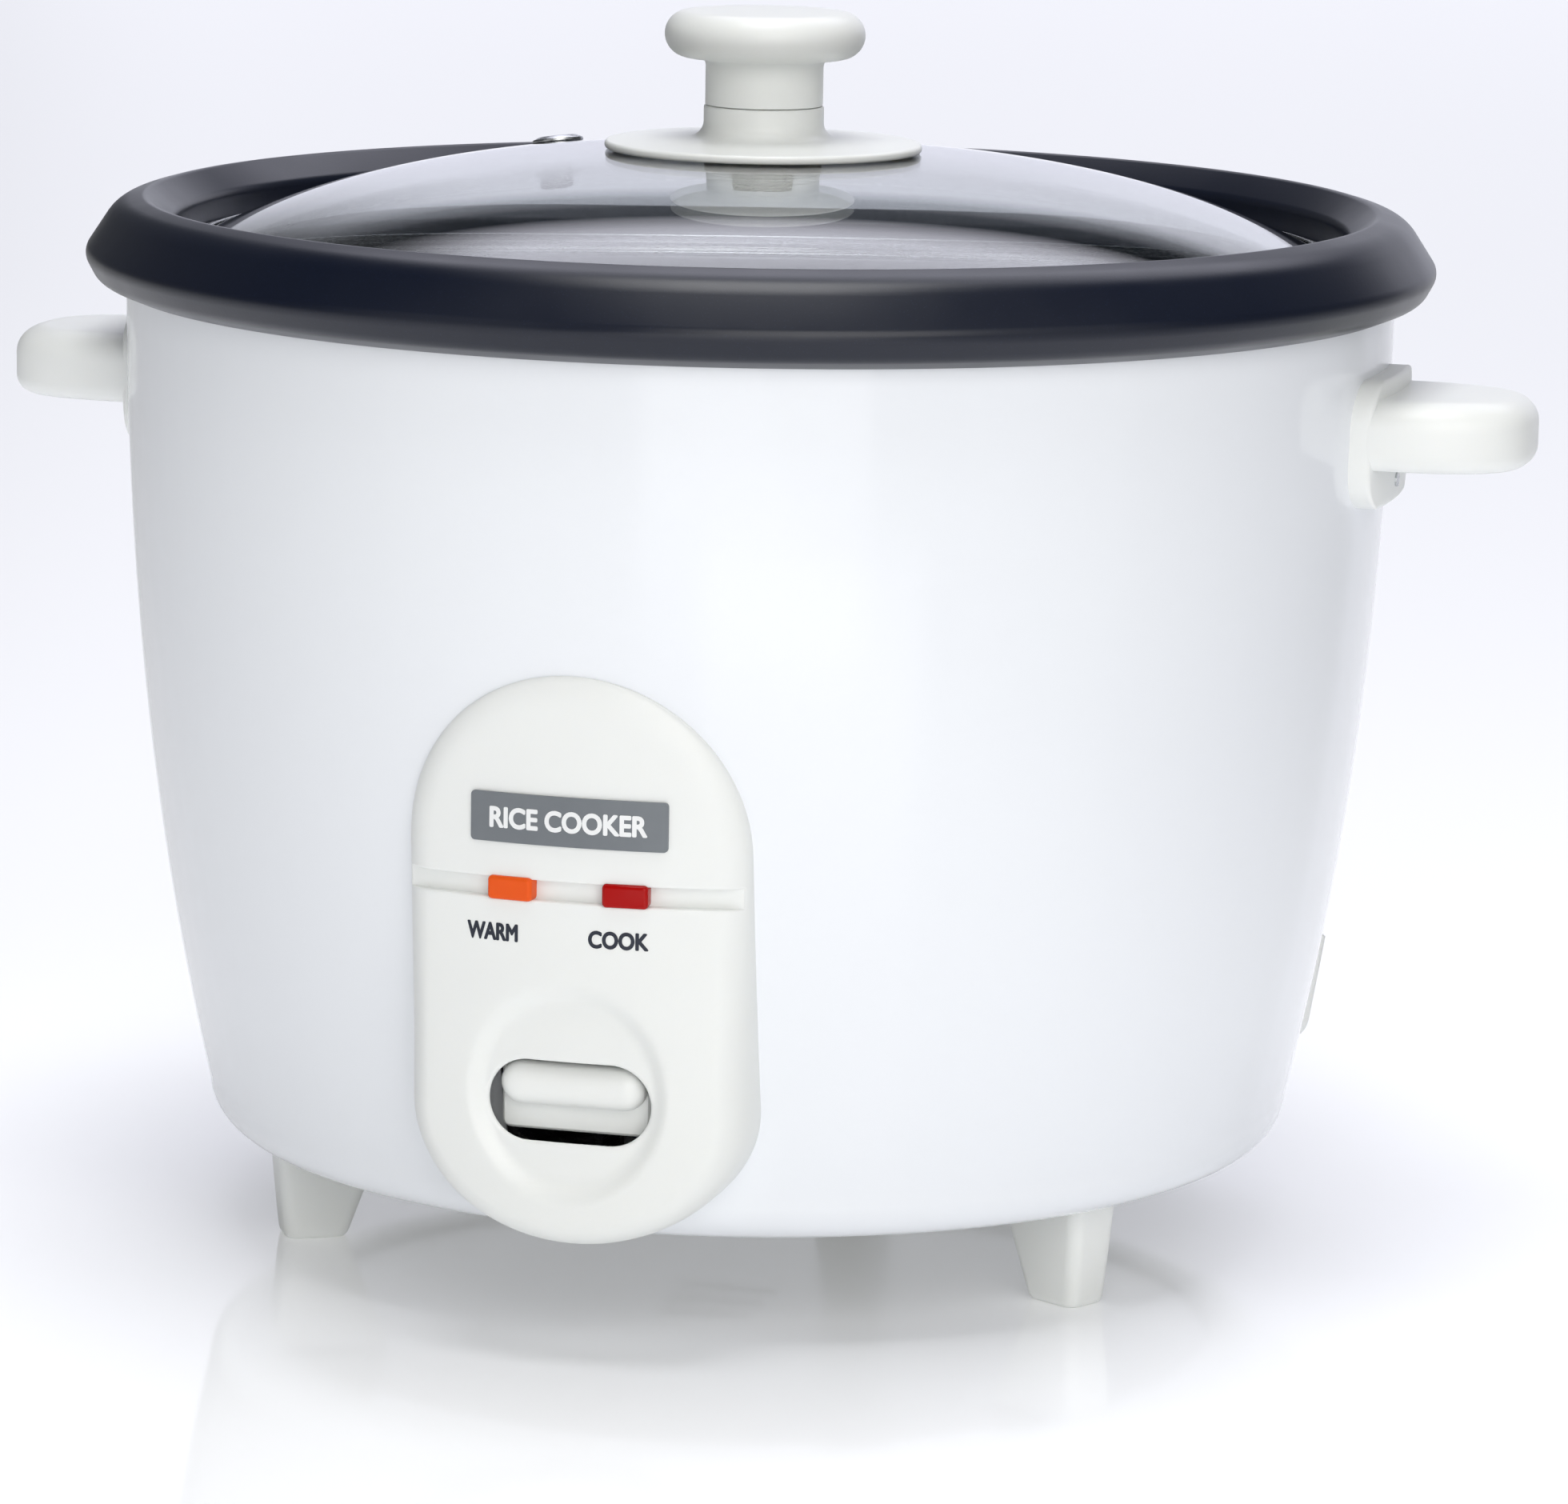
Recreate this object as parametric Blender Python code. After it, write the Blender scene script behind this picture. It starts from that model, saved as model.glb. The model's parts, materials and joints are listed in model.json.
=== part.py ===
"""Rice cooker with a lift-out pot, a domed glass lid and a tip-down cook lever.

Sizes are in millimetres and the mesh helpers turn them into metres. The base of the feet is
at height 0, the turning axis of the drum is Z, and the control panel faces -Y.
A bearing is an angle from the panel, positive towards +X.
"""
from math import asin, cos, degrees, pi, radians, sin

import bmesh
import bpy
from mathutils import Matrix, Vector

MM = 0.001

# Clearances
gap = 0.3                    # between pieces that touch
slide_gap = 0.8              # between pieces that slide past each other
screw_gap = 0.4              # round a screw in its hole

# Drum
body_top_radius = 129.8
body_top = 204.0
body_floor = 22.0            # underside of the drum above the table
body_taper = 19.45           # how much narrower the drum gets towards its floor
taper_power = 2.28
body_corner = 8.5            # rounding between wall and floor
shell_wall = 1.2
floor_radius = body_top_radius - body_taper
shell_lip_radius = floor_radius - 12.35   # inner edge of the shell's turned-in floor
base_radius = floor_radius - 8.35
base_wall = 1.2
segments = 36                # sides of every large round piece
small_segments = 20
knob_segments = 24
tool_out = body_top_radius + 15.2         # cutting tools start outside everything but the handles
tool_in = floor_radius - 10.35            # and end inside the wall

# Heating plate, which the pot stands on
case_floor = body_floor + 32.0
plate_bottom = case_floor + 6.0
plate_top = plate_bottom + 10.0
plate_hole_radius = 20.0

# Pot
pot_wall = 1.5
pot_radius = body_top_radius - 14.3
pot_floor = plate_top + gap
pot_corner = 24.0
ledge_height = body_top - 5.7             # the lid's edge rests here, inside the mouth
ledge_radius = pot_radius + 4.3
ridge_radius = ledge_radius + 6.2
ridge_height = body_top + 10.0
rim_radius = body_top_radius + 8.2
rim_height = body_top - 2.0               # height of the rim's widest line
rim_lip_radius = body_top_radius + 0.9
rim_lip_height = body_top - 8.4

# Inner case
case_radius = pot_radius + 2.5
case_wall = 1.2
case_top = body_top - 10.0
case_flange_radius = body_top_radius - 1.8
case_corner = 24.0
case_hole_radius = plate_hole_radius + 2.0

# Lid
lid_radius = ledge_radius - 2.3
lid_apex = ledge_height + 26.5
lid_rise = 21.4
lid_round = 0.54             # share of the rise that follows a plain arc
glass_wall = 4.0
band_radius = ledge_radius - 0.5
band_wall = 0.5
vent_radius = 5.5
vent_hole_radius = 1.6
vent_distance = 66.0
vent_bearing = -123.0

# Knob
knob_flange_radius = 32.5
knob_stem_radius = 12.3
knob_seam = lid_apex + 8.4
knob_cap_radius = 20.5
knob_cap_low = knob_seam + 9.8
knob_top = knob_cap_low + 10.0
knob_screw_radius = 2.0
washer_radius = 12.0

# Control panel
panel_half_width = 34.0
panel_top = body_top - 67.5
panel_low = 23.6
panel_front = body_top_radius - 0.3       # radius of its front face
panel_draft = 4.0            # how far its edges lean in towards the front
panel_wall = 2.9
panel_cavity_top = panel_top - 52.5
groove_low = panel_top - 44.5
groove_high = groove_low + 4.0
groove_depth = 2.2
lens_offset = 11.5
lens_width = 9.0
lens_height = 4.6
lens_front = panel_front + 0.4
lens_back = panel_front - 6.6
lamp_radius = 1.4
panel_screw_offset = 22.0
panel_screw_height = groove_low - 5.0
badge_width = 39.0
badge_low = groove_high + 7.0
badge_high = badge_low + 9.6
badge_thickness = 0.5
window_half_width = 16.2
window_height = 15.8
window_middle = 52.4
dish_half_width = 20.5
dish_half_height = 22.0
dish_middle = 54.5
dish_depth = 1.4

# Cook lever
pivot_y = -62.0
pivot_height = 38.0
pin_radius = 1.5
hub_radius = 4.2
arm_width = 10.0
arm_thickness = 1.5
arm_rear_y = 5.0
arm_rear_height = 31.0
paddle_width = 29.0
paddle_height = 8.7
paddle_middle = 55.3
paddle_front_y = 2.7 - panel_front
skirt_front_y = 7.5 - panel_front
skirt_back_y = 10.0 - panel_front
skirt_low = 45.6
arm_bend_y = skirt_back_y + gap + 17.2
arm_bend_height = 42.0
bracket_ear_x = 11.0
bracket_wall = 1.5

# Handles
handle_reach = body_top_radius + 31.4
handle_half_width = 21.5
handle_power = 2.8           # squareness of the grip's outline
grip_low = body_top - 36.5
grip_high = grip_low + 14.0
plate_low = body_top - 45.0
plate_high = plate_low + 26.0
plate_thickness = 3.9
plate_corner = 9.0
grip_root = body_top_radius + 1.2
grip_wall = 3.0
grip_recess_start = grip_root + 5.0
handle_screw_reach = grip_root + 2.8

# Feet
foot_bearings = {"foot_front_left": -60, "foot_front_right": 60, "foot_rear": 180}
foot_screw_distance = floor_radius - 19.35
foot_top_span = (floor_radius - 32.85, floor_radius - 9.35)
foot_base_span = (floor_radius - 24.35, floor_radius - 11.35)
foot_top_width = 13.0
foot_base_width = 10.5
foot_corner = 2.6

# Power inlet
inlet_bearing = 125
inlet_width = 34.0
inlet_low = 34.0
inlet_high = 60.0
inlet_proud = 7.0            # how far its face stands outside the drum
inlet_chamfer = 4.3
inlet_throat_width = 28.0
inlet_throat_low = 37.0
inlet_throat_high = 57.0
inlet_back = floor_radius - 2.85
socket_width = 25.0
socket_low = 39.5
socket_high = 54.5
socket_floor = inlet_back + 3.5
inlet_pin_radius = 1.6
inlet_pin_height = 43.0
inlet_pin_spacing = 8.0
inlet_pin_outer = socket_floor + 8.5
inlet_pin_inner = inlet_back - 6.0

# Heating and thermostat
plate_radius = pot_radius - 29.5
element_radius = plate_radius - 24.0
terminal_radius = 3.0
sensor_cap_radius = plate_hole_radius - 3.0
sensor_cap_wall = 1.0
sensor_tube_radius = sensor_cap_radius - 3.5
sensor_tube_low = 38.0
sensor_tube_top = plate_bottom + 4.5
sensor_flange_radius = case_hole_radius + 5.0
ferrite_radius = sensor_tube_radius - 2.1
ferrite_low = plate_top - 7.4
magnet_top = ferrite_low - 5.5
magnet_low = magnet_top - 8.0
magnet_well_radius = 7.5
magnet_well_depth = 5.0
rod_radius = 2.5
wire_radius = 0.9

# Colours as linear RGB, with roughness and metallic values
finishes = {
    "white_enamel": ((0.87, 0.88, 0.90), 0.12, 0.0),
    "white_plastic": ((0.84, 0.86, 0.84), 0.32, 0.0),
    "dark_coating": ((0.030, 0.036, 0.050), 0.38, 0.3),
    "clear_glass": ((0.80, 0.84, 0.88), 0.03, 0.0),
    "steel": ((0.56, 0.57, 0.58), 0.28, 1.0),
    "aluminium": ((0.66, 0.67, 0.68), 0.35, 1.0),
    "brass": ((0.62, 0.45, 0.20), 0.30, 1.0),
    "ferrite": ((0.05, 0.05, 0.06), 0.60, 0.0),
    "black_plastic": ((0.03, 0.03, 0.03), 0.45, 0.0),
    "silicone": ((0.60, 0.61, 0.60), 0.60, 0.0),
    "orange_lens": ((0.90, 0.17, 0.02), 0.20, 0.0),
    "red_lens": ((0.60, 0.01, 0.01), 0.20, 0.0),
    "grey_badge": ((0.17, 0.19, 0.20), 0.40, 0.2),
    "lamp_glass": ((0.80, 0.70, 0.60), 0.10, 0.0),
    "ceramic": ((0.75, 0.73, 0.68), 0.60, 0.0),
    "wire_cover": ((0.70, 0.70, 0.72), 0.70, 0.0),
}


# ---- mesh helpers ----

def material(name):
    """The named finish as a Principled material, made once."""
    if name in bpy.data.materials:
        return bpy.data.materials[name]
    colour, roughness, metallic = finishes[name]
    made = bpy.data.materials.new(name)
    made.use_nodes = True
    shader = made.node_tree.nodes["Principled BSDF"]
    shader.inputs["Base Color"].default_value = (*colour, 1.0)
    shader.inputs["Roughness"].default_value = roughness
    shader.inputs["Metallic"].default_value = metallic
    return made


def finished(name, bm, finish):
    """Turns a bmesh into a named object; with no finish it is a guide that the build leaves out."""
    bmesh.ops.recalc_face_normals(bm, faces=bm.faces)
    mesh = bpy.data.meshes.new(name)
    bm.to_mesh(mesh)
    bm.free()
    mesh.shade_smooth()
    mesh.set_sharp_from_angle(angle=radians(32))
    made = bpy.data.objects.new(name, mesh)
    bpy.context.scene.collection.objects.link(made)
    if finish:
        mesh.materials.append(material(finish))
    else:
        made.hide_render = True
        made.display_type = "WIRE"
    return made


def turned(name, outline, finish=None, sides=segments):
    """A closed outline of (radius, height) points, spun about Z."""
    bm = bmesh.new()
    points = [bm.verts.new((r * MM, 0, z * MM)) for r, z in outline]
    edges = [bm.edges.new(pair) for pair in zip(points, points[1:] + points[:1])
             if max(pair[0].co.x, pair[1].co.x) > 0]
    bmesh.ops.spin(bm, geom=points + edges, axis=(0, 0, 1), angle=2 * pi, steps=sides, use_merge=True)
    bmesh.ops.remove_doubles(bm, verts=bm.verts, dist=0.001 * MM)
    return finished(name, bm, finish)


def skinned(name, rings, finish=None):
    """A solid through rings of equally many points, capped at both ends."""
    bm = bmesh.new()
    loops = [[bm.verts.new(Vector(point) * MM) for point in ring] for ring in rings]
    count = len(loops[0])
    for near, far in zip(loops, loops[1:]):
        for i in range(count):
            j = (i + 1) % count
            bm.faces.new((near[i], near[j], far[j], far[i]))
    bm.faces.new(loops[0])
    bm.faces.new(loops[-1])
    return finished(name, bm, finish)


def prism(name, outline, low, high, finish=None, along="Z"):
    """A flat outline drawn out from low to high along an axis."""
    place = {"X": lambda a, b, h: (h, a, b), "Y": lambda a, b, h: (a, h, b), "Z": lambda a, b, h: (a, b, h)}
    return skinned(name, [[place[along](a, b, h) for a, b in outline] for h in (low, high)], finish)


def block(name, low, high, finish=None):
    """A plain box between two corners."""
    outline = [(low[0], low[1]), (high[0], low[1]), (high[0], high[1]), (low[0], high[1])]
    return prism(name, outline, low[2], high[2], finish)


def rod(name, radius, start, end, finish=None, sides=small_segments):
    """A round bar between two points."""
    run = Vector(end) - Vector(start)
    across = run.orthogonal().normalized()
    over = run.cross(across).normalized()
    rings = []
    for middle in (Vector(start), Vector(end)):
        turns = [2 * pi * i / sides for i in range(sides)]
        rings.append([middle + radius * (cos(t) * across + sin(t) * over) for t in turns])
    return skinned(name, rings, finish)


def coil(name, radius, wire, low, high, turns, finish, steps=10, sides=4):
    """A round-wire compression spring about Z."""
    rings = []
    for i in range(turns * steps + 1):
        t = 2 * pi * i / steps
        outward = Vector((cos(t), sin(t), 0))
        middle = radius * outward + Vector((0, 0, low + wire + (high - low - 2 * wire) * i / (turns * steps)))
        angles = [2 * pi * k / sides for k in range(sides)]
        rings.append([middle + wire * (cos(a) * outward + sin(a) * Vector((0, 0, 1))) for a in angles])
    return skinned(name, rings, finish)


def change(target, tool, operation):
    """One Boolean step of target with tool."""
    step = target.modifiers.new(operation.title(), "BOOLEAN")
    step.operation = operation
    step.solver = "EXACT"
    step.object = tool


def cut(target, *tools):
    for tool in tools:
        change(target, tool, "DIFFERENCE")


def keep(target, tool):
    change(target, tool, "INTERSECT")


def join(target, *tools):
    for tool in tools:
        change(target, tool, "UNION")


def turn_to(bearing, *pieces):
    """Turns pieces that were made facing the panel's side round to their bearing."""
    for piece in pieces:
        piece.rotation_euler.z = radians(bearing)


def at_bearing(bearing, distance, height):
    """The point at a bearing, a distance from the axis and a height."""
    return (distance * sin(radians(bearing)), -distance * cos(radians(bearing)), height)


# ---- curves ----

def arc(middle, radius, start, end, steps):
    """Points on an arc between two angles in degrees, both ends included."""
    angles = [radians(start + (end - start) * i / steps) for i in range(steps + 1)]
    return [(middle[0] + radius * cos(a), middle[1] + radius * sin(a)) for a in angles]


def rounded_box(half_width, low, high, corner, steps=4):
    """A box outline, symmetric about 0, with round corners."""
    outline = []
    for side, top, start in ((1, 0, -90), (1, 1, 0), (-1, 1, 90), (-1, 0, 180)):
        middle = (side * (half_width - corner), high - corner if top else low + corner)
        outline += arc(middle, corner, start, start + 90, steps)
    return outline


def body_radius(height):
    """The drum narrows by a power curve from its top to its floor."""
    return body_top_radius - body_taper * ((body_top - height) / (body_top - body_floor)) ** taper_power


def drum_outline(inset, top, low, steps):
    """The drum's side from top to the start of its bottom corner, then round the corner."""
    corner_top = low + body_corner
    heights = [top + (corner_top - top) * i / steps for i in range(steps + 1)]
    side = [(body_radius(height) - inset, height) for height in heights]
    turn_radius = body_corner - inset
    middle = (body_radius(corner_top) - body_corner, low + body_corner)
    return side + arc(middle, turn_radius, 0, -90, 3)[1:]


def dome(radius):
    """Height of the glass's upper face: part plain arc, part steeper towards the edge."""
    share = radius / lid_radius
    return lid_apex - lid_rise * (lid_round * share ** 2 + (1 - lid_round) * share ** 4)


def panel_outline(inset, steps=12):
    """The panel's outline: straight sides, a round top and a flatter round chin."""
    half = panel_half_width - inset
    shoulder = panel_top - panel_half_width
    chin = panel_low + 0.8 * panel_half_width
    top = [(x, shoulder + (z - shoulder) * (panel_top - 0.3 * inset - shoulder) / half)
           for x, z in arc((0, shoulder), half, 0, 180, steps)]
    low = [(x, chin + (z - chin) * (chin - panel_low - inset) / half)
           for x, z in arc((0, chin), half, 180, 360, steps)]
    return top + low


def grip_outline(inset, root):
    """Half of a squared oval that reaches out towards -Y, closed by a straight root."""
    half = handle_half_width - inset
    reach = handle_reach - inset - grip_root
    outline = [(-half, -root)]
    for i in range(13):
        angle = pi * i / 12
        across = -half * abs(cos(angle)) ** (2 / handle_power) * (1 if angle < pi / 2 else -1)
        out = grip_root + reach * abs(sin(angle)) ** (2 / handle_power)
        if out > root + 0.1:
            outline.append((across, -out))
    return outline + [(half, -root)]


# ---- drum and base ----

def drum_plug():
    """Everything inside the drum's outer face and its clearance; parts mounted outside are cut by it."""
    heights = [body_floor - 4 + (body_top + 8 - body_floor) * i / 16 for i in range(17)]
    side = [(body_radius(min(height, body_top)) + gap, height) for height in reversed(heights)]
    return turned("tool_drum", [(0, side[0][1])] + side + [(0, side[-1][1])])


def outer_shell():
    outside = drum_outline(0, body_top, body_floor, 7)
    inside = drum_outline(shell_wall, body_top, body_floor, 7)
    outline = outside + [(shell_lip_radius, body_floor), (shell_lip_radius, body_floor + shell_wall)]
    shell = turned("outer_shell", outline + inside[::-1], "white_enamel")
    hole_low, hole_high = window_middle - window_height / 2 - 8.5, window_middle + window_height / 2 + 1.7
    lever_hole = prism("tool_lever_hole", rounded_box(window_half_width + 1, hole_low, hole_high, 4),
                       -tool_out, -tool_in, None, "Y")
    lamp_half = lens_offset + lens_width / 2 + 3
    lamp_hole = prism("tool_lamp_hole", rounded_box(lamp_half, groove_low - 1.6, groove_high + 1.6, 2),
                      -tool_out, -tool_in, None, "Y")
    throat = prism("tool_inlet_hole", rounded_box(inlet_throat_width / 2 + gap, inlet_throat_low - gap,
                                                  inlet_throat_high + gap, 3), -tool_out, -tool_in, None, "Y")
    turn_to(inlet_bearing, throat)
    cut(shell, lever_hole, lamp_hole, throat)
    return shell


def base_plate():
    low = body_floor + shell_wall + gap
    outline = [(0, low), (base_radius, low), (base_radius, low + base_wall), (0, low + base_wall)]
    plate = turned("base_plate", outline, "steel")
    for row in range(3):
        middle_y = 2 + 11 * row
        slot = [(x - 10, middle_y + y) for x, y in rounded_box(11, -1.6, 1.6, 1.5)]
        cut(plate, prism(f"tool_vent_{row}", slot, low - 2, low + 4))
    for name, bearing in foot_bearings.items():
        foot_at = at_bearing(bearing, foot_screw_distance, 0)
        cut(plate, rod(f"tool_{name}", 2 + screw_gap, (foot_at[0], foot_at[1], low - 3),
                       (foot_at[0], foot_at[1], low + 5)))
    return low + base_wall


def foot(name, bearing, base_top):
    """A radial fin that narrows to the table, held by one screw from inside the base."""
    def ring(span, width, height):
        middle = -sum(span) / 2
        half = (span[1] - span[0]) / 2
        return [(x, middle + y, height) for x, y in rounded_box(width / 2, -half, half, foot_corner, 3)]

    top = body_floor - gap
    fin = skinned(name, [ring(foot_base_span, foot_base_width, 0), ring(foot_base_span, foot_base_width, 2),
                         ring(foot_top_span, foot_top_width, top)], "white_plastic")
    boss = rod(f"tool_boss_{name}", 5, (0, -foot_screw_distance, top - 3),
               (0, -foot_screw_distance, body_floor + shell_wall))
    hole = rod(f"tool_hole_{name}", 2 + screw_gap, (0, -foot_screw_distance, 8),
               (0, -foot_screw_distance, base_top))
    turn_to(bearing, fin, boss, hole)
    join(fin, boss)
    cut(fin, hole)
    head = base_top + gap
    outline = [(0, head + 2.2), (3.6, head + 2.2), (4, head), (2, head), (2, 10), (0, 8.5)]
    screw = turned(f"screw_{name}", outline, "steel", 12)
    screw.location = Vector(at_bearing(bearing, foot_screw_distance, 0)) * MM


def inner_case():
    """Deep pan round the pot, with a flange at the top and a hole for the thermostat."""
    middle = (case_radius - case_corner, case_floor + case_corner)
    outside = [(case_flange_radius, case_top + case_wall), (case_flange_radius, case_top), (case_radius, case_top)]
    outside += arc(middle, case_corner, 0, -90, 3) + [(case_hole_radius, case_floor)]
    inside = [(case_hole_radius, case_floor + case_wall)]
    inside += arc(middle, case_corner - case_wall, -90, 0, 3) + [(case_radius - case_wall, case_top + case_wall)]
    turned("inner_case", outside + inside, "aluminium")


# ---- pot and lid ----

def inner_pot():
    """Drawn pot: floor, wall, ledge for the lid, flared ridge, sloping rim and tucked-under lip."""
    middle = (pot_radius - pot_corner, pot_floor + pot_corner)
    rim = (rim_radius - 3.2, rim_height + 0.2)
    ridge = (ridge_radius, ridge_height - 2)
    outside = [(0, pot_floor)] + arc(middle, pot_corner, -90, 0, 3)
    outside += [(pot_radius, ledge_height - pot_wall), (ledge_radius + pot_wall, ledge_height - pot_wall)]
    outside += [(ledge_radius + pot_wall, ridge_height - 6), (ridge_radius - 0.6, ridge_height - pot_wall)]
    outside += [(ridge_radius + 0.8, ridge_height - pot_wall - 0.4)]
    outside += arc(rim, 3.2 - pot_wall, 45, -45, 2) + [(rim_lip_radius, rim_lip_height + pot_wall)]
    top = [(rim_lip_radius + 0.2, rim_lip_height)] + arc(rim, 3.2, -52, 45, 3)
    top += arc(ridge, 2, 50, 125, 2)
    top += [(ledge_radius, ridge_height - 6), (ledge_radius, ledge_height), (pot_radius - pot_wall, ledge_height)]
    inside = arc(middle, pot_corner - pot_wall, 0, -90, 3) + [(0, pot_floor + pot_wall)]
    turned("inner_pot", outside + top + inside, "dark_coating")


def glass_lid():
    radii = [lid_radius * share for share in (1, 0.88, 0.72, 0.5, 0.25)]
    top = [(radius, dome(radius)) for radius in radii]
    under = [(radius, dome(radius) - glass_wall) for radius in radii]
    screw_hole = knob_screw_radius + 2 * screw_gap
    outline = top + [(screw_hole, dome(screw_hole)), (screw_hole, dome(screw_hole) - glass_wall)] + under[::-1]
    glass = turned("glass_lid", outline, "clear_glass")
    vent_at = at_bearing(vent_bearing, vent_distance, 0)
    vent = rod("tool_vent", 3.6 + gap, (vent_at[0], vent_at[1], lid_apex - 35),
               (vent_at[0], vent_at[1], lid_apex + 15))
    cut(glass, vent)


def lid_rim_band():
    """Thin steel channel that wraps the glass's edge and sits on the pot's ledge."""
    low = ledge_height + gap
    top = dome(lid_radius) + gap
    inner = lid_radius - 2.2
    lift = dome(inner) - dome(lid_radius)
    outline = [(band_radius, low), (band_radius, top + band_wall), (inner, top + lift + band_wall),
               (inner, top + lift), (lid_radius + gap, top), (lid_radius + gap, low + band_wall),
               (inner, low + band_wall), (inner, low)]
    turned("lid_rim_band", outline, "steel")


def vent_grommet():
    """Steel eyelet pressed into the glass; steam leaves through its hole."""
    height = dome(vent_distance)
    rise = 1.0
    outline = [(vent_hole_radius, height + rise + 1.4), (4.4, height + rise + 1.4), (vent_radius, height + rise + 0.6),
               (vent_radius, height + rise), (3.6, height + rise), (3.6, height - glass_wall - rise - 1),
               (vent_hole_radius, height - glass_wall - rise - 1)]
    grommet = turned("vent_grommet", outline, "steel", small_segments)
    grommet.location = Vector(at_bearing(vent_bearing, vent_distance, 0)) * MM


def knob():
    """Base with a wide flange, cap, screw from under the glass and a soft washer."""
    edge = dome(knob_flange_radius) + gap
    inner = lid_apex + 2 * gap
    hole = knob_screw_radius + screw_gap
    stem = knob_stem_radius
    base = [(hole, knob_seam), (stem, knob_seam)]
    base += arc((stem + 4, edge + 6.8), 4, 180, 262, 3)
    base += [(knob_flange_radius - 0.8, edge + 1.7), (knob_flange_radius, edge + 0.9), (knob_flange_radius - 0.5, edge)]
    base += [(knob_flange_radius - 3, edge), (knob_flange_radius - 4, inner), (hole, inner)]
    turned("knob_base", base, "white_plastic", knob_segments)

    low = knob_seam + gap
    stem -= 0.2
    cap_mid = (knob_cap_low + knob_top - 0.8) / 2
    half = cap_mid - knob_cap_low
    cap = [(0, knob_top), (10, knob_top - 0.3)]
    cap += arc((knob_cap_radius - half, cap_mid), half, 65, -80, 4)
    cap += [(stem + 1.5, knob_cap_low), (stem, knob_cap_low - 1.5), (stem, low), (hole, low)]
    cap += [(hole, knob_cap_low + 2), (0, knob_cap_low + 3)]
    turned("knob_cap", cap, "white_plastic", knob_segments)

    under = lid_apex - glass_wall - gap
    washer = [(hole, under), (washer_radius, under - 0.5), (washer_radius, under - 1.8), (hole, under - 1.8)]
    turned("knob_washer", washer, "silicone", small_segments)

    head = under - 1.8 - gap
    screw = [(0, knob_cap_low + 1), (knob_screw_radius, knob_cap_low), (knob_screw_radius, head),
             (6.5, head), (6, head - 2.2), (0, head - 2.2)]
    turned("knob_screw", screw, "steel", small_segments)


# ---- front panel ----

def control_panel(plug):
    def ring(inset, y):
        return [(x, y, z) for x, z in panel_outline(inset)]

    panel = skinned("control_panel", [ring(0, -tool_in), ring(0, -panel_front + 9),
                                      ring(panel_draft, -panel_front - 1)], "white_plastic")
    cavity_radius = panel_front - panel_wall
    low, high = panel_low - 10, panel_top + 10
    face = turned("tool_panel_face", [(0, low), (panel_front, low), (panel_front, high), (0, high)])
    hollow_face = turned("tool_panel_hollow", [(0, low), (cavity_radius, low), (cavity_radius, high), (0, high)])
    cavity = [point for point in panel_outline(panel_draft + panel_wall) if point[1] < panel_cavity_top]
    cavity = sorted([point for point in cavity if point[0] <= 0], key=lambda point: -point[1]) + \
        sorted([point for point in cavity if point[0] > 0], key=lambda point: point[1])
    side = panel_half_width - panel_draft - panel_wall
    hollow = prism("tool_panel_cavity", [(-side, panel_cavity_top)] + cavity + [(side, panel_cavity_top)],
                   -tool_out, 5 - tool_in, None, "Y")
    keep(hollow, hollow_face)
    floor = panel_front - groove_depth
    groove = turned("tool_groove", [(tool_out, groove_low), (tool_out, groove_high), (floor, groove_high),
                                    (floor, groove_low)])
    window = prism("tool_window", rounded_box(window_half_width, window_middle - window_height / 2,
                                              window_middle + window_height / 2, window_height / 2 - 0.01),
                   -tool_out, -tool_in, None, "Y")
    oval = [(dish_half_width * cos(2 * pi * i / 24), dish_middle + dish_half_height * sin(2 * pi * i / 24))
            for i in range(24)]
    dish = prism("tool_dish", oval, -tool_out, -tool_in, None, "Y")
    dish_floor = panel_front - dish_depth
    keep(dish, turned("tool_dish_ring", [(dish_floor, low), (dish_floor, high), (tool_out + 5, high),
                                         (tool_out + 5, low)]))
    keep(panel, face)
    cut(panel, plug, hollow, groove, dish, window)
    for side in (-1, 1):
        bearing = side * degrees(asin(lens_offset / panel_front))
        hole = block(f"tool_lens_{side + 1}", (-lens_width / 2 - gap, -tool_out, groove_low - 0.3 - gap),
                     (lens_width / 2 + gap, -tool_in, groove_low - 0.3 + lens_height + gap))
        turn_to(bearing, hole)
        cut(panel, hole)
    for name, side in (("panel_screw_left", -1), ("panel_screw_right", 1)):
        bearing = side * degrees(asin(panel_screw_offset / panel_front))
        inside = body_radius(panel_screw_height) - shell_wall - gap
        hole = rod(f"tool_{name}", 1.4 + screw_gap, (0, -tool_in, panel_screw_height),
                   (0, -panel_front + 1.8, panel_screw_height), None, 12)
        screw = rod(name, 1.4, (0, -inside + 1.1, panel_screw_height), (0, -panel_front + 2.4, panel_screw_height),
                    "steel", 12)
        head = rod(f"tool_{name}_head", 2.8, (0, -inside + 2, panel_screw_height),
                   (0, -inside + 0.5, panel_screw_height), None, 12)
        turn_to(bearing, hole, screw, head)
        join(screw, head)
        cut(panel, hole)
        cut(bpy.data.objects["outer_shell"], hole)


def lens(name, bearing, finish):
    low = groove_low - 0.3
    piece = block(name, (-lens_width / 2, -lens_front, low), (lens_width / 2, -lens_back, low + lens_height), finish)
    bevel = piece.modifiers.new("Bevel", "BEVEL")
    bevel.width = 0.5 * MM
    bevel.segments = 2
    turn_to(bearing, piece)


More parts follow.
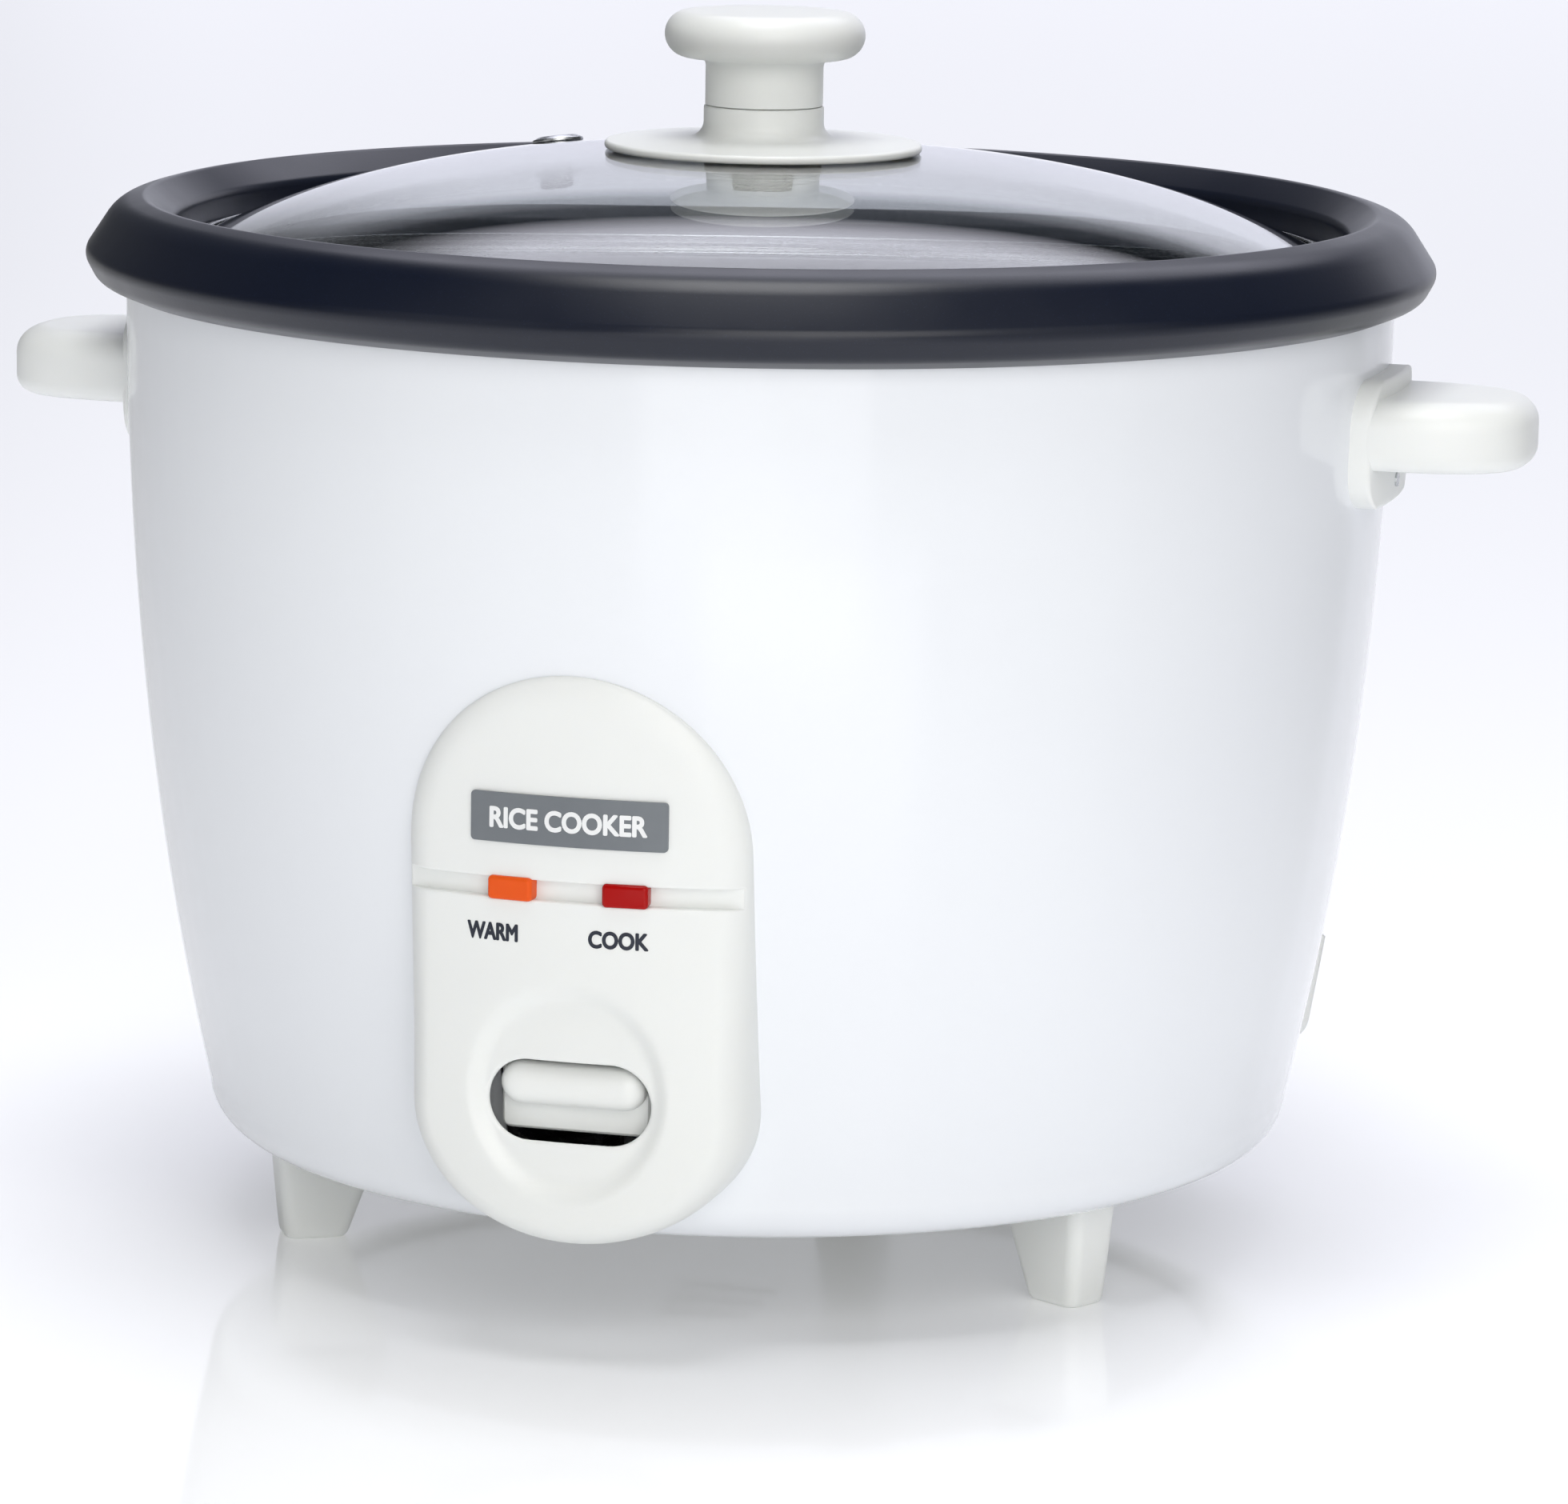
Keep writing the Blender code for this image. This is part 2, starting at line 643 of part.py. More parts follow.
def lamps():
    """Two neon tubes stand behind the lenses, between the shell and the inner case."""
    spread = degrees(asin(lens_offset / panel_front))
    lens("warm_lens", -spread, "orange_lens")
    lens("cook_lens", spread, "red_lens")
    distance = case_radius + 2 * gap + lamp_radius
    for name, bearing in (("warm_lamp", -spread), ("cook_lamp", spread)):
        middle = at_bearing(bearing, distance, 0)
        rod(name, lamp_radius, (middle[0], middle[1], groove_low - 1.5), (middle[0], middle[1], groove_high + 4),
            "lamp_glass", 12)


def badge_plate():
    """A thin blank plate that follows the panel's curved front."""
    inner = panel_front + gap
    outer, low, high = inner + badge_thickness, badge_low - 5, badge_high + 5
    ring = turned("tool_badge", [(inner, low), (outer, low), (outer, high), (inner, high)])
    badge = prism("badge_plate", rounded_box(badge_width / 2, badge_low, badge_high, 0.8, 2), -tool_out, -tool_in,
                  "grey_badge", "Y")
    keep(badge, ring)


# ---- cook lever and switch ----

def cook_lever():
    """Bent arm on a pivot; its front end carries the paddle, its rear end lifts the magnet rod."""
    front_y = skirt_back_y + gap
    spine = [(arm_rear_y, arm_rear_height), (pivot_y + 12, pivot_height - 2.5), (pivot_y - 12, pivot_height - 2.5),
             (arm_bend_y, arm_bend_height), (arm_bend_y - 6, 51), (front_y, 53)]
    lower = [(y, z - arm_thickness) for y, z in reversed(spine)]
    arm = prism("lever_arm", spine + lower, -arm_width / 2, arm_width / 2, "steel", "X")
    hub = rod("tool_hub", hub_radius, (-arm_width / 2, pivot_y, pivot_height), (arm_width / 2, pivot_y, pivot_height))
    hole = rod("tool_hub_hole", pin_radius + gap, (-20, pivot_y, pivot_height), (20, pivot_y, pivot_height))
    join(arm, hub)
    cut(arm, hole)

    high = paddle_middle + paddle_height / 2
    low = paddle_middle - paddle_height / 2
    paddle = prism("lever_paddle", rounded_box(paddle_width / 2, low, high, paddle_height / 2 - 0.01),
                   paddle_front_y, skirt_back_y, "white_plastic", "Y")
    skirt = prism("tool_skirt", rounded_box(paddle_width / 2 + 0.4, skirt_low, high + 0.1, 2.5),
                  skirt_front_y, skirt_back_y, None, "Y")
    join(paddle, skirt)

    ear_out = bracket_ear_x + bracket_wall
    rod("lever_pin", pin_radius, (-ear_out - 1, pivot_y, pivot_height), (ear_out + 1, pivot_y, pivot_height), "steel")
    return hole


def lever_bracket(pin_hole, base_top):
    """Folded bracket: a foot on the base plate and two ears that hold the pin."""
    low = base_top + gap
    out = bracket_ear_x + bracket_wall
    outline = [(-out, low), (out, low), (out, pivot_height + 5), (bracket_ear_x, pivot_height + 5),
               (bracket_ear_x, low + bracket_wall), (-bracket_ear_x, low + bracket_wall),
               (-bracket_ear_x, pivot_height + 5), (-out, pivot_height + 5)]
    bracket = prism("lever_bracket", outline, pivot_y - 6, pivot_y + 6, "steel", "Y")
    cut(bracket, pin_hole)


def micro_switch(base_top):
    """Boxed contact under the lever's front half, worked by a small plunger."""
    low = base_top + gap
    case_y = (-96, -74)
    plunger_y = -84
    case = block("switch_case", (-6, case_y[0], low), (6, case_y[1], low + 6.5), "black_plastic")
    well = rod("tool_well", 1.6 + gap, (0, plunger_y, low + 1.6), (0, plunger_y, low + 12), None, 12)
    cut(case, well)
    top = pivot_height - 2.5 - arm_thickness
    rise = (arm_bend_height - (pivot_height - 2.5)) / (pivot_y - 12 - arm_bend_y)
    lever_under = top + rise * (pivot_y - 12 - plunger_y)
    rod("switch_plunger", 1.6, (0, plunger_y, low + 4.4), (0, plunger_y, lever_under - gap), "white_plastic", 12)


# ---- heating and thermostat ----

def heating():
    """Cast plate with a buried ring element, on three spacers; its terminals stand below it."""
    ridge = 3.0
    outline = [(plate_hole_radius, plate_top), (plate_radius - 6, plate_top), (plate_radius, plate_top - 4),
               (plate_radius, plate_bottom + 2), (element_radius + 10, plate_bottom + 2),
               (element_radius + 7, plate_bottom), (element_radius - 7, plate_bottom),
               (element_radius - 10, plate_bottom + ridge), (plate_hole_radius, plate_bottom + ridge)]
    turned("heating_plate", outline, "aluminium")
    case_holes = []
    for name, bearing in (("element_terminal_left", 150), ("element_terminal_right", -150)):
        x, y, _ = at_bearing(bearing, element_radius, 0)
        rod(name, terminal_radius, (x, y, case_floor - 8), (x, y, plate_bottom - gap), "brass", 12)
        case_holes.append(rod(f"tool_{name}", terminal_radius + slide_gap, (x, y, case_floor - 2),
                              (x, y, case_floor + 4), None, 12))
    low = case_floor + case_wall + gap
    for number, bearing in enumerate((0, 120, 240), 1):
        x, y, _ = at_bearing(bearing, element_radius, 0)
        rod(f"plate_spacer_{number}", 5, (x, y, low), (x, y, plate_bottom - gap), "ceramic", 12)
    cut(bpy.data.objects["inner_case"], *case_holes)


def thermostat():
    """Sprung cap with a ferrite in it; a magnet on a rod clings to the ferrite while cooking."""
    cap, wall = sensor_cap_radius, sensor_cap_wall
    outline = [(0, plate_top), (cap - 1, plate_top), (cap, plate_top - 1), (cap, plate_bottom + 1),
               (cap - wall, plate_bottom + 1), (cap - wall, plate_top - wall), (0, plate_top - wall)]
    turned("sensor_cap", outline, "aluminium", 24)
    ferrite_top = plate_top - wall - gap
    turned("ferrite", [(0, ferrite_top), (ferrite_radius, ferrite_top), (ferrite_radius, ferrite_low),
                       (0, ferrite_low)], "ferrite", 24)
    flange_top = case_floor - gap
    tube, bore = sensor_tube_radius, sensor_tube_radius - 1.2
    outline = [(tube, sensor_tube_top), (tube, flange_top), (sensor_flange_radius, flange_top),
               (sensor_flange_radius, flange_top - 1.2), (tube, flange_top - 1.2), (tube, sensor_tube_low),
               (bore, sensor_tube_low), (bore, sensor_tube_top)]
    turned("sensor_tube", outline, "steel", 24)
    coil("cap_spring", (tube + cap - wall) / 2, 0.5, flange_top + gap, plate_top - wall - gap, 4, "steel", 12)
    well = magnet_top - magnet_well_depth
    magnet = [(0, well), (magnet_well_radius, well), (magnet_well_radius, magnet_top),
              (ferrite_radius, magnet_top), (ferrite_radius, magnet_low), (0, magnet_low)]
    turned("magnet", magnet, "ferrite", 24)
    rod("magnet_rod", rod_radius, (0, 0, arm_rear_height + 1.2), (0, 0, magnet_low - gap), "steel", 12)
    coil("magnet_spring", 6, 0.5, well + gap, ferrite_low - gap, 3, "steel")


def fuse_and_resistor():
    """Thermal fuse and keep-warm resistor, clipped under the inner case's floor."""
    level = case_floor - gap
    rod("thermal_fuse", 2, (36, 26, level - 2), (52, 26, level - 2), "steel", 12)
    block("warm_resistor", (-58, 22, level - 7), (-34, 30, level), "ceramic")


# ---- wiring ----

def smooth_route(points, steps=3):
    """Points on a smooth curve through the route's own points."""
    padded = [points[0]] + points + [points[-1]]
    route = []
    for a, b, c, d in zip(padded, padded[1:], padded[2:], padded[3:]):
        for i in range(steps):
            t = i / steps
            route.append(tuple(0.5 * (2 * q + (r - p) * t + (2 * p - 5 * q + 4 * r - s) * t ** 2
                                      + (3 * q - p - 3 * r + s) * t ** 3) for p, q, r, s in zip(a, b, c, d)))
    return route + [points[-1]]


def wire(name, points):
    """Sleeved wire, run whole between its two ends."""
    curve = bpy.data.curves.new(name, "CURVE")
    curve.dimensions = "3D"
    curve.bevel_depth = wire_radius * MM
    curve.bevel_resolution = 2
    curve.use_fill_caps = True
    route = smooth_route(points)
    spline = curve.splines.new("POLY")
    spline.points.add(len(route) - 1)
    for point, place in zip(spline.points, route):
        point.co = (*(Vector(place) * MM), 1)
    curve.materials.append(material("wire_cover"))
    bpy.context.scene.collection.objects.link(bpy.data.objects.new(name, curve))


def wiring():
    """Wires start at the inner ends of the inlet's pins, or a clearance away from the piece they serve."""
    def from_pin(offset):
        turn = Matrix.Rotation(radians(inlet_bearing), 3, "Z")
        inner_end = inlet_pin_inner - gap
        return [tuple(turn @ Vector((offset * inlet_pin_spacing, -distance, inlet_pin_height)))
                for distance in (inner_end, inner_end - 9)]

    level = case_floor - gap - 2
    below = case_floor - 8 - gap
    terminal_x, terminal_y, _ = at_bearing(150, element_radius, 0)
    wire("wire_live", from_pin(-1) + [(74, 32, 45), (60, 26, level), (52 + gap, 26, level)])
    wire("wire_fuse_to_element", [(36 - gap, 26, level), (33, 26, level), (31, 33, level - 5),
                                  (terminal_x, terminal_y - 10.7, level - 11), (terminal_x, terminal_y, below - 5),
                                  (terminal_x, terminal_y, below)])
    wire("wire_neutral", from_pin(1) + [(60, 64, 37), (26, 70, 34), (-10, 70, 34), (-terminal_x, terminal_y + 8.3, 37),
                                        (-terminal_x, terminal_y, below - 4), (-terminal_x, terminal_y, below)])
    wire("wire_switch", [(-6 - gap, -85, 28.5), (-20, -78, 29), (-46, -46, 34), (-54, -12, 42), (-48, 10, 49),
                         (-46, 22 - gap, 50)])


# ---- handles ----

def handle(name, bearing, plug):
    """Ear-shaped grip, hollow underneath, on a base plate that follows the drum."""
    grip = prism(name, grip_outline(0, grip_root), grip_low, grip_high, "white_plastic")
    face = turned(f"tool_face_{name}", [(0, plate_low - 5)] + [
        (body_radius(height) + gap + plate_thickness, height) for height in (plate_low - 5, plate_high + 5)] +
        [(0, plate_high + 5)])
    plate = prism(f"tool_plate_{name}", rounded_box(handle_half_width, plate_low, plate_high, plate_corner),
                  -tool_out, -tool_in, None, "Y")
    keep(plate, face)
    recess = prism(f"tool_recess_{name}", grip_outline(grip_wall, grip_recess_start), grip_low - 5,
                   grip_high - grip_wall)
    turn_to(bearing, grip, plate, recess)
    join(grip, plate)
    cut(grip, recess, plug)
    for number, height in enumerate((plate_low + 4.5, grip_high - 2.5), 1):
        screw_hole = rod(f"tool_{name}_screw_{number}", 1.5 + screw_gap, (0, -tool_in, height),
                         (0, -handle_screw_reach - 0.7, height), None, 12)
        turn_to(bearing, screw_hole)
        cut(grip, screw_hole)
        cut(bpy.data.objects["outer_shell"], screw_hole)
        back = body_radius(height) - shell_wall - screw_gap
        screw = rod(f"{name}_screw_{number}", 1.5, (0, -back + 0.5, height), (0, -handle_screw_reach, height),
                    "steel", 12)
        head = rod(f"tool_{name}_head_{number}", 3.4, (0, -back + 2.4, height), (0, -back, height), None, 12)
        join(screw, head)
        turn_to(bearing, screw, head)


# ---- power inlet ----

def power_inlet(plug):
    """Socket housing with a face that leans with the drum, a throat through the shell, and three pins."""
    face_high = inlet_high - inlet_chamfer
    flange = prism("power_inlet", rounded_box(inlet_width / 2, inlet_low, inlet_high, 4), -tool_out, -tool_in,
                   "white_plastic", "Y")
    side = [(-body_radius(inlet_low) - inlet_proud, inlet_low - 1), (-body_radius(face_high) - inlet_proud, face_high),
            (inlet_chamfer - body_radius(inlet_high) - inlet_proud, inlet_high + 1),
            (10 - tool_in, inlet_high + 1), (10 - tool_in, inlet_low - 1)]
    lean = prism("tool_inlet_side", side, -inlet_width, inlet_width, None, "X")
    throat = prism("tool_throat", rounded_box(inlet_throat_width / 2, inlet_throat_low, inlet_throat_high, 3),
                   -inlet_pin_outer, -inlet_back, None, "Y")
    socket = prism("tool_socket", rounded_box(socket_width / 2, socket_low, socket_high, 3), -tool_out,
                   -socket_floor, None, "Y")
    turn_to(inlet_bearing, flange, lean, throat, socket)
    keep(flange, lean)
    cut(flange, plug)
    join(flange, throat)
    cut(flange, socket)
    for name, offset in (("inlet_pin_live", -1), ("inlet_pin_earth", 0), ("inlet_pin_neutral", 1)):
        x = offset * inlet_pin_spacing
        pin = rod(name, inlet_pin_radius, (x, -inlet_pin_outer, inlet_pin_height),
                  (x, -inlet_pin_inner, inlet_pin_height), "brass", 12)
        hole = rod(f"tool_{name}", inlet_pin_radius + gap, (x, -inlet_pin_outer - 3, inlet_pin_height),
                   (x, -inlet_pin_inner, inlet_pin_height), None, 12)
        turn_to(inlet_bearing, pin, hole)
        cut(flange, hole)


def build():
    for old in list(bpy.data.objects):
        bpy.data.objects.remove(old)
    plug = drum_plug()
    outer_shell()
    base_top = base_plate()
    for name, bearing in foot_bearings.items():
        foot(name, bearing, base_top)
    inner_case()
    heating()
    thermostat()
    fuse_and_resistor()
    wiring()
    inner_pot()
    glass_lid()
    lid_rim_band()
    vent_grommet()
    knob()
    control_panel(plug)
    lamps()
    badge_plate()
    pin_hole = cook_lever()
    lever_bracket(pin_hole, base_top)
    micro_switch(base_top)
    handle("left_handle", -90, plug)
    handle("right_handle", 90, plug)
    power_inlet(plug)


build()
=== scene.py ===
import json
from math import cos, pi, radians, sin

import bmesh
import bpy
import numpy as np
from mathutils import Matrix, Vector


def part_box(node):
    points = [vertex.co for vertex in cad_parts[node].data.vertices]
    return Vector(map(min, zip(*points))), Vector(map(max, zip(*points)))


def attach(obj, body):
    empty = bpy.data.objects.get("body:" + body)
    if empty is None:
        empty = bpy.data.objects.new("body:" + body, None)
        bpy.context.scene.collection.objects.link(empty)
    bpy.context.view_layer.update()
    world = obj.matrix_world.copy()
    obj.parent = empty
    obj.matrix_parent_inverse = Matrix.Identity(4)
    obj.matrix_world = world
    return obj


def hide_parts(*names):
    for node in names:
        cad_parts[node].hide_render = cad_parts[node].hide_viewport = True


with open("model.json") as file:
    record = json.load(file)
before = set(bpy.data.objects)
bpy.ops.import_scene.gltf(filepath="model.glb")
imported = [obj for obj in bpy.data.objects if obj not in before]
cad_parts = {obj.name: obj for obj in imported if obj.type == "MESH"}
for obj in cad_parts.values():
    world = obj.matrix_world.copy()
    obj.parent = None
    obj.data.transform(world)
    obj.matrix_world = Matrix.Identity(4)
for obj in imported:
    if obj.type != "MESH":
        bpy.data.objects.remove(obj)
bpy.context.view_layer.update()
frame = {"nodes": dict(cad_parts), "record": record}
mm = 0.001  # every size below is in millimetres, and makePiece turns it into metres


def nodeBox(*names):
    # the box round some CAD nodes, in millimetres: its low corner and its high corner
    corners = [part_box(name) for name in names]
    low = np.min([np.array(low) for low, high in corners], axis=0)
    high = np.max([np.array(high) for low, high in corners], axis=0)
    return low / mm, high / mm


shellLow, shellHigh = nodeBox("outer_shell")
potLow, potHigh = nodeBox("inner_pot")
panelLow, panelHigh = nodeBox("control_panel")
gripLow, gripHigh = nodeBox("right_handle")
knobHigh = nodeBox("knob_base", "knob_cap")[1]
glassHigh = nodeBox("glass_lid")[1]
inletLow, inletHigh = nodeBox("power_inlet")
plateLow, plateHigh = nodeBox("heating_plate")
print("frame read")


def hexColour(code):
    # sRGB hex to linear: a short straight part near black, then a 2.4 power curve
    parts = np.array([int(code[i:i + 2], 16) for i in (0, 2, 4)]) / 255
    linear = np.where(parts <= 0.04045, parts / 12.92, ((parts + 0.055) / 1.055) ** 2.4)
    return (*linear.tolist(), 1.0)


def addNode(tree, kind, settings, links):
    # one node: a setting is a property of the node or the value of a socket, and a link joins a source
    # to a socket
    made = tree.nodes.new(kind)
    for key, value in settings.items():
        if isinstance(key, str) and hasattr(made, key):
            setattr(made, key, value)
        else:
            made.inputs[key].default_value = value
    for key, source in links.items():
        tree.links.new(source, made.inputs[key])
    return made


def newMaterial(name, sockets):
    # a Principled material with constants set straight on its sockets
    made = bpy.data.materials.new(name)
    made.use_nodes = True
    shader = made.node_tree.nodes["Principled BSDF"]
    for key, value in sockets.items():
        shader.inputs[key].default_value = value
    place = made.node_tree.nodes.new("ShaderNodeTexCoord").outputs["Object"]
    return made, made.node_tree, shader, place


def perMetre(sizeMm):
    # a texture's scale for a pattern that repeats about every sizeMm
    return 1 / (sizeMm * mm)


def addMottle(tree, shader, place, sizeMm, low, high, detail=3.0):
    # noise of a real size, spread between two values, drives the roughness
    noise = addNode(tree, "ShaderNodeTexNoise", {"Scale": perMetre(sizeMm), "Detail": detail},
                    {"Vector": place})
    spread = addNode(tree, "ShaderNodeMapRange", {
        "From Min": 0.3, "From Max": 0.7, "To Min": low, "To Max": high}, {"Value": noise.outputs["Fac"]})
    tree.links.new(spread.outputs["Result"], shader.inputs["Roughness"])


def addBlend(tree, shader, share, first, second):
    # a pattern from 0 to 1 goes from the first hex colour to the second
    blend = addNode(tree, "ShaderNodeMix", {"data_type": "RGBA"}, {0: share})
    blend.inputs[6].default_value = hexColour(first)
    blend.inputs[7].default_value = hexColour(second)
    tree.links.new(blend.outputs[2], shader.inputs["Base Color"])


def addTint(tree, shader, place, sizeMm, first, second):
    # a slow colour change, over a real size, between two hex colours
    noise = addNode(tree, "ShaderNodeTexNoise", {"Scale": perMetre(sizeMm), "Detail": 2.0}, {"Vector": place})
    addBlend(tree, shader, noise.outputs["Fac"], first, second)


def addRelief(tree, shader, place, depthMm, texture, settings):
    # a pattern whose grey runs from 0 to 1 stands up from the surface by a real depth
    pattern = addNode(tree, texture, settings, {"Vector": place})
    bump = addNode(tree, "ShaderNodeBump", {"Strength": 1.0, "Distance": depthMm * mm},
                   {"Height": pattern.outputs["Fac"]})
    tree.links.new(bump.outputs["Normal"], shader.inputs["Normal"])


def enamelMaterial():
    # Stoved enamel sprayed on sheet steel: glossy, with the faint orange peel of sprayed paint
    made, tree, shader, place = newMaterial("stovedEnamel", {
        "IOR": 1.5, "Coat Weight": 0.35, "Coat Roughness": 0.04, "Coat IOR": 1.5})
    addTint(tree, shader, place, 160, "F1F4F7", "EDF0F5")
    addMottle(tree, shader, place, 40, 0.10, 0.16)
    addRelief(tree, shader, place, 0.012, "ShaderNodeTexNoise", {"Scale": perMetre(6), "Detail": 1.0})
    return made


def plasticMaterial(name, light, dark, rough, waxy):
    # Polypropylene moulded in a fine-grained tool: warm white, soft gloss, a little light goes through it
    made, tree, shader, place = newMaterial(name, {
        "IOR": 1.49, "Subsurface Weight": waxy, "Subsurface Radius": (1.0, 0.9, 0.75),
        "Subsurface Scale": 0.0025})
    addTint(tree, shader, place, 45, light, dark)
    addMottle(tree, shader, place, 30, rough - 0.012, rough + 0.02)
    addRelief(tree, shader, place, 0.003, "ShaderNodeTexNoise", {"Scale": perMetre(1.2), "Detail": 1.0})
    return made


def coatingMaterial():
    # Non-stick coating rolled on drawn aluminium: dark slate, satin, with fine flecks and a soft ripple
    made, tree, shader, place = newMaterial("nonStickCoating", {
        "IOR": 1.45, "Coat Weight": 0.1, "Coat Roughness": 0.3})
    flecks = addNode(tree, "ShaderNodeTexVoronoi", {"Scale": perMetre(0.7)}, {"Vector": place})
    share = addNode(tree, "ShaderNodeMapRange", {"From Min": 0.05, "From Max": 0.22, "To Min": 1.0,
                                                 "To Max": 0.0}, {"Value": flecks.outputs["Distance"]})
    addBlend(tree, shader, share.outputs["Result"], "0A1122", "172036")
    addMottle(tree, shader, place, 25, 0.29, 0.36)
    addRelief(tree, shader, place, 0.012, "ShaderNodeTexNoise", {"Scale": perMetre(0.8), "Detail": 3.0})
    return made


def glassMaterial():
    # Tempered soda-lime glass, pressed into a dome: clear with a grey-green depth, almost no ripple
    made, tree, shader, place = newMaterial("temperedGlass", {
        "Base Color": hexColour("F3F6F6"), "Transmission Weight": 1.0, "IOR": 1.52, "Roughness": 0.0})
    addRelief(tree, shader, place, 0.03, "ShaderNodeTexNoise", {"Scale": perMetre(45), "Detail": 0.0})
    return made


def metalMaterial(name, colour, rough, ringMm=0.0, brushed=False, depthMm=0.01):
    # Bare metal; ringMm adds turned rings about the axis, brushed draws the noise out into strokes
    made, tree, shader, place = newMaterial(name, {"Base Color": hexColour(colour), "Metallic": 1.0,
                                                   "Anisotropic": 0.5 if brushed else 0.0})
    drawn = addNode(tree, "ShaderNodeMapping", {"Scale": (1, 1, 14) if brushed else (1, 1, 1)},
                    {"Vector": place}).outputs["Vector"]
    addMottle(tree, shader, drawn, 3, rough - 0.06, rough + 0.08, 4.0)
    if ringMm:
        addRelief(tree, shader, place, depthMm, "ShaderNodeTexWave", {
            "wave_type": "RINGS", "rings_direction": "Z", "Scale": perMetre(ringMm) / 20, "Distortion": 0.4})
    else:
        addRelief(tree, shader, drawn, depthMm, "ShaderNodeTexNoise", {"Scale": perMetre(0.5), "Detail": 3.0})
    return made


def plainMaterial(name, light, dark, rough, sizeMm, depthMm, sockets):
    # Cast, moulded or fired solids: two close colours, an uneven sheen and a fine relief
    made, tree, shader, place = newMaterial(name, sockets)
    addTint(tree, shader, place, sizeMm * 8, light, dark)
    addMottle(tree, shader, place, sizeMm * 4, rough - 0.05, rough + 0.06)
    addRelief(tree, shader, place, depthMm, "ShaderNodeTexNoise", {"Scale": perMetre(sizeMm), "Detail": 4.0})
    return made


def lensMaterial(name, colour):
    # Tinted clear polycarbonate, moulded: light gathers inside it, the skin is glossy
    made, tree, shader, place = newMaterial(name, {
        "Base Color": hexColour(colour), "IOR": 1.58, "Specular IOR Level": 0.12, "Subsurface Weight": 0.1,
        "Subsurface Radius": (1.0, 0.1, 0.03), "Subsurface Scale": 0.001})
    addMottle(tree, shader, place, 3.2, 0.07, 0.18)
    addRelief(tree, shader, place, 0.01, "ShaderNodeTexNoise", {"Scale": perMetre(0.8), "Detail": 4.0})
    return made


def sleeveMaterial():
    # Braided glass-fibre sleeve: pale grey threads that cross about every millimetre
    made, tree, shader, place = newMaterial("glassFibreSleeve", {"Roughness": 0.75, "Sheen Weight": 0.3})
    addTint(tree, shader, place, 6, "D5D5D0", "BDBDB8")
    addRelief(tree, shader, place, 0.08, "ShaderNodeTexWave", {"Scale": perMetre(1.0) / 3, "Distortion": 1.5})
    return made


finishes = {
    "enamel": enamelMaterial(),
    "white_plastic": plasticMaterial("mouldedPolypropylene", "F0F2F0", "ECEEEB", 0.36, 0.06),
    "dark_coating": coatingMaterial(),
    "clear_glass": glassMaterial(),
    "steel": metalMaterial("stainlessSteel", "C9CBCD", 0.24, brushed=True),
    "spring_steel": metalMaterial("springWire", "9B9DA0", 0.30),
    "aluminium": metalMaterial("drawnAluminium", "D6D8DA", 0.34, brushed=True, depthMm=0.015),
    "castAluminium": metalMaterial("turnedCastAluminium", "C8CACC", 0.36, ringMm=0.8, depthMm=0.03),
    "brass": metalMaterial("drawnBrass", "D0A95A", 0.26),
    "ferrite": plainMaterial("sinteredFerrite", "2B2B2D", "232325", 0.55, 0.4, 0.02, {"Metallic": 0.2}),
    "black_plastic": plainMaterial("mouldedPhenolic", "1E1E1E", "171717", 0.42, 0.5, 0.01, {"IOR": 1.6}),
    "silicone": plainMaterial("mouldedSilicone", "C8CBC8", "BFC2BF", 0.5, 0.5, 0.01, {
        "IOR": 1.41, "Transmission Weight": 0.3}),
    "orange_lens": lensMaterial("tintedPolycarbonateAmber", "E85A1C"),
    "red_lens": lensMaterial("tintedPolycarbonateRed", "A80C0A"),
    "grey_badge": plainMaterial("printedAluminiumFoil", "777C80", "70757A", 0.38, 0.5, 0.004, {
        "Metallic": 0.15}),
    "lamp_glass": plainMaterial("neonLampGlass", "E9D9C4", "DCC8B0", 0.10, 2.0, 0.004, {
        "Transmission Weight": 0.8, "IOR": 1.5}),
    "ceramic": plainMaterial("firedSteatite", "E2DED2", "D6D1C4", 0.6, 0.6, 0.03, {"IOR": 1.6}),
    "wire_cover": sleeveMaterial(),
    "print": plainMaterial("padPrintedInk", "1B2233", "151B2A", 0.4, 0.6, 0.003, {"IOR": 1.5}),
    "letters": plainMaterial("printedWhite", "F4F5F5", "ECEEEE", 0.35, 0.6, 0.003, {"IOR": 1.5}),
}
print("materials made:", len(finishes))


def gridFaces(rows, columns, wrapRows=False, wrapColumns=False, keep=None):
    # the four corner numbers of every cell; a wrapped side joins its last line to its first
    i, j = np.meshgrid(np.arange(rows if wrapRows else rows - 1),
                       np.arange(columns if wrapColumns else columns - 1), indexing="ij")
    nextI, nextJ = (i + 1) % rows, (j + 1) % columns
    cells = np.stack([i * columns + j, i * columns + nextJ, nextI * columns + nextJ, nextI * columns + j],
                     axis=-1)
    return cells[keep] if keep is not None else cells.reshape(-1, 4)


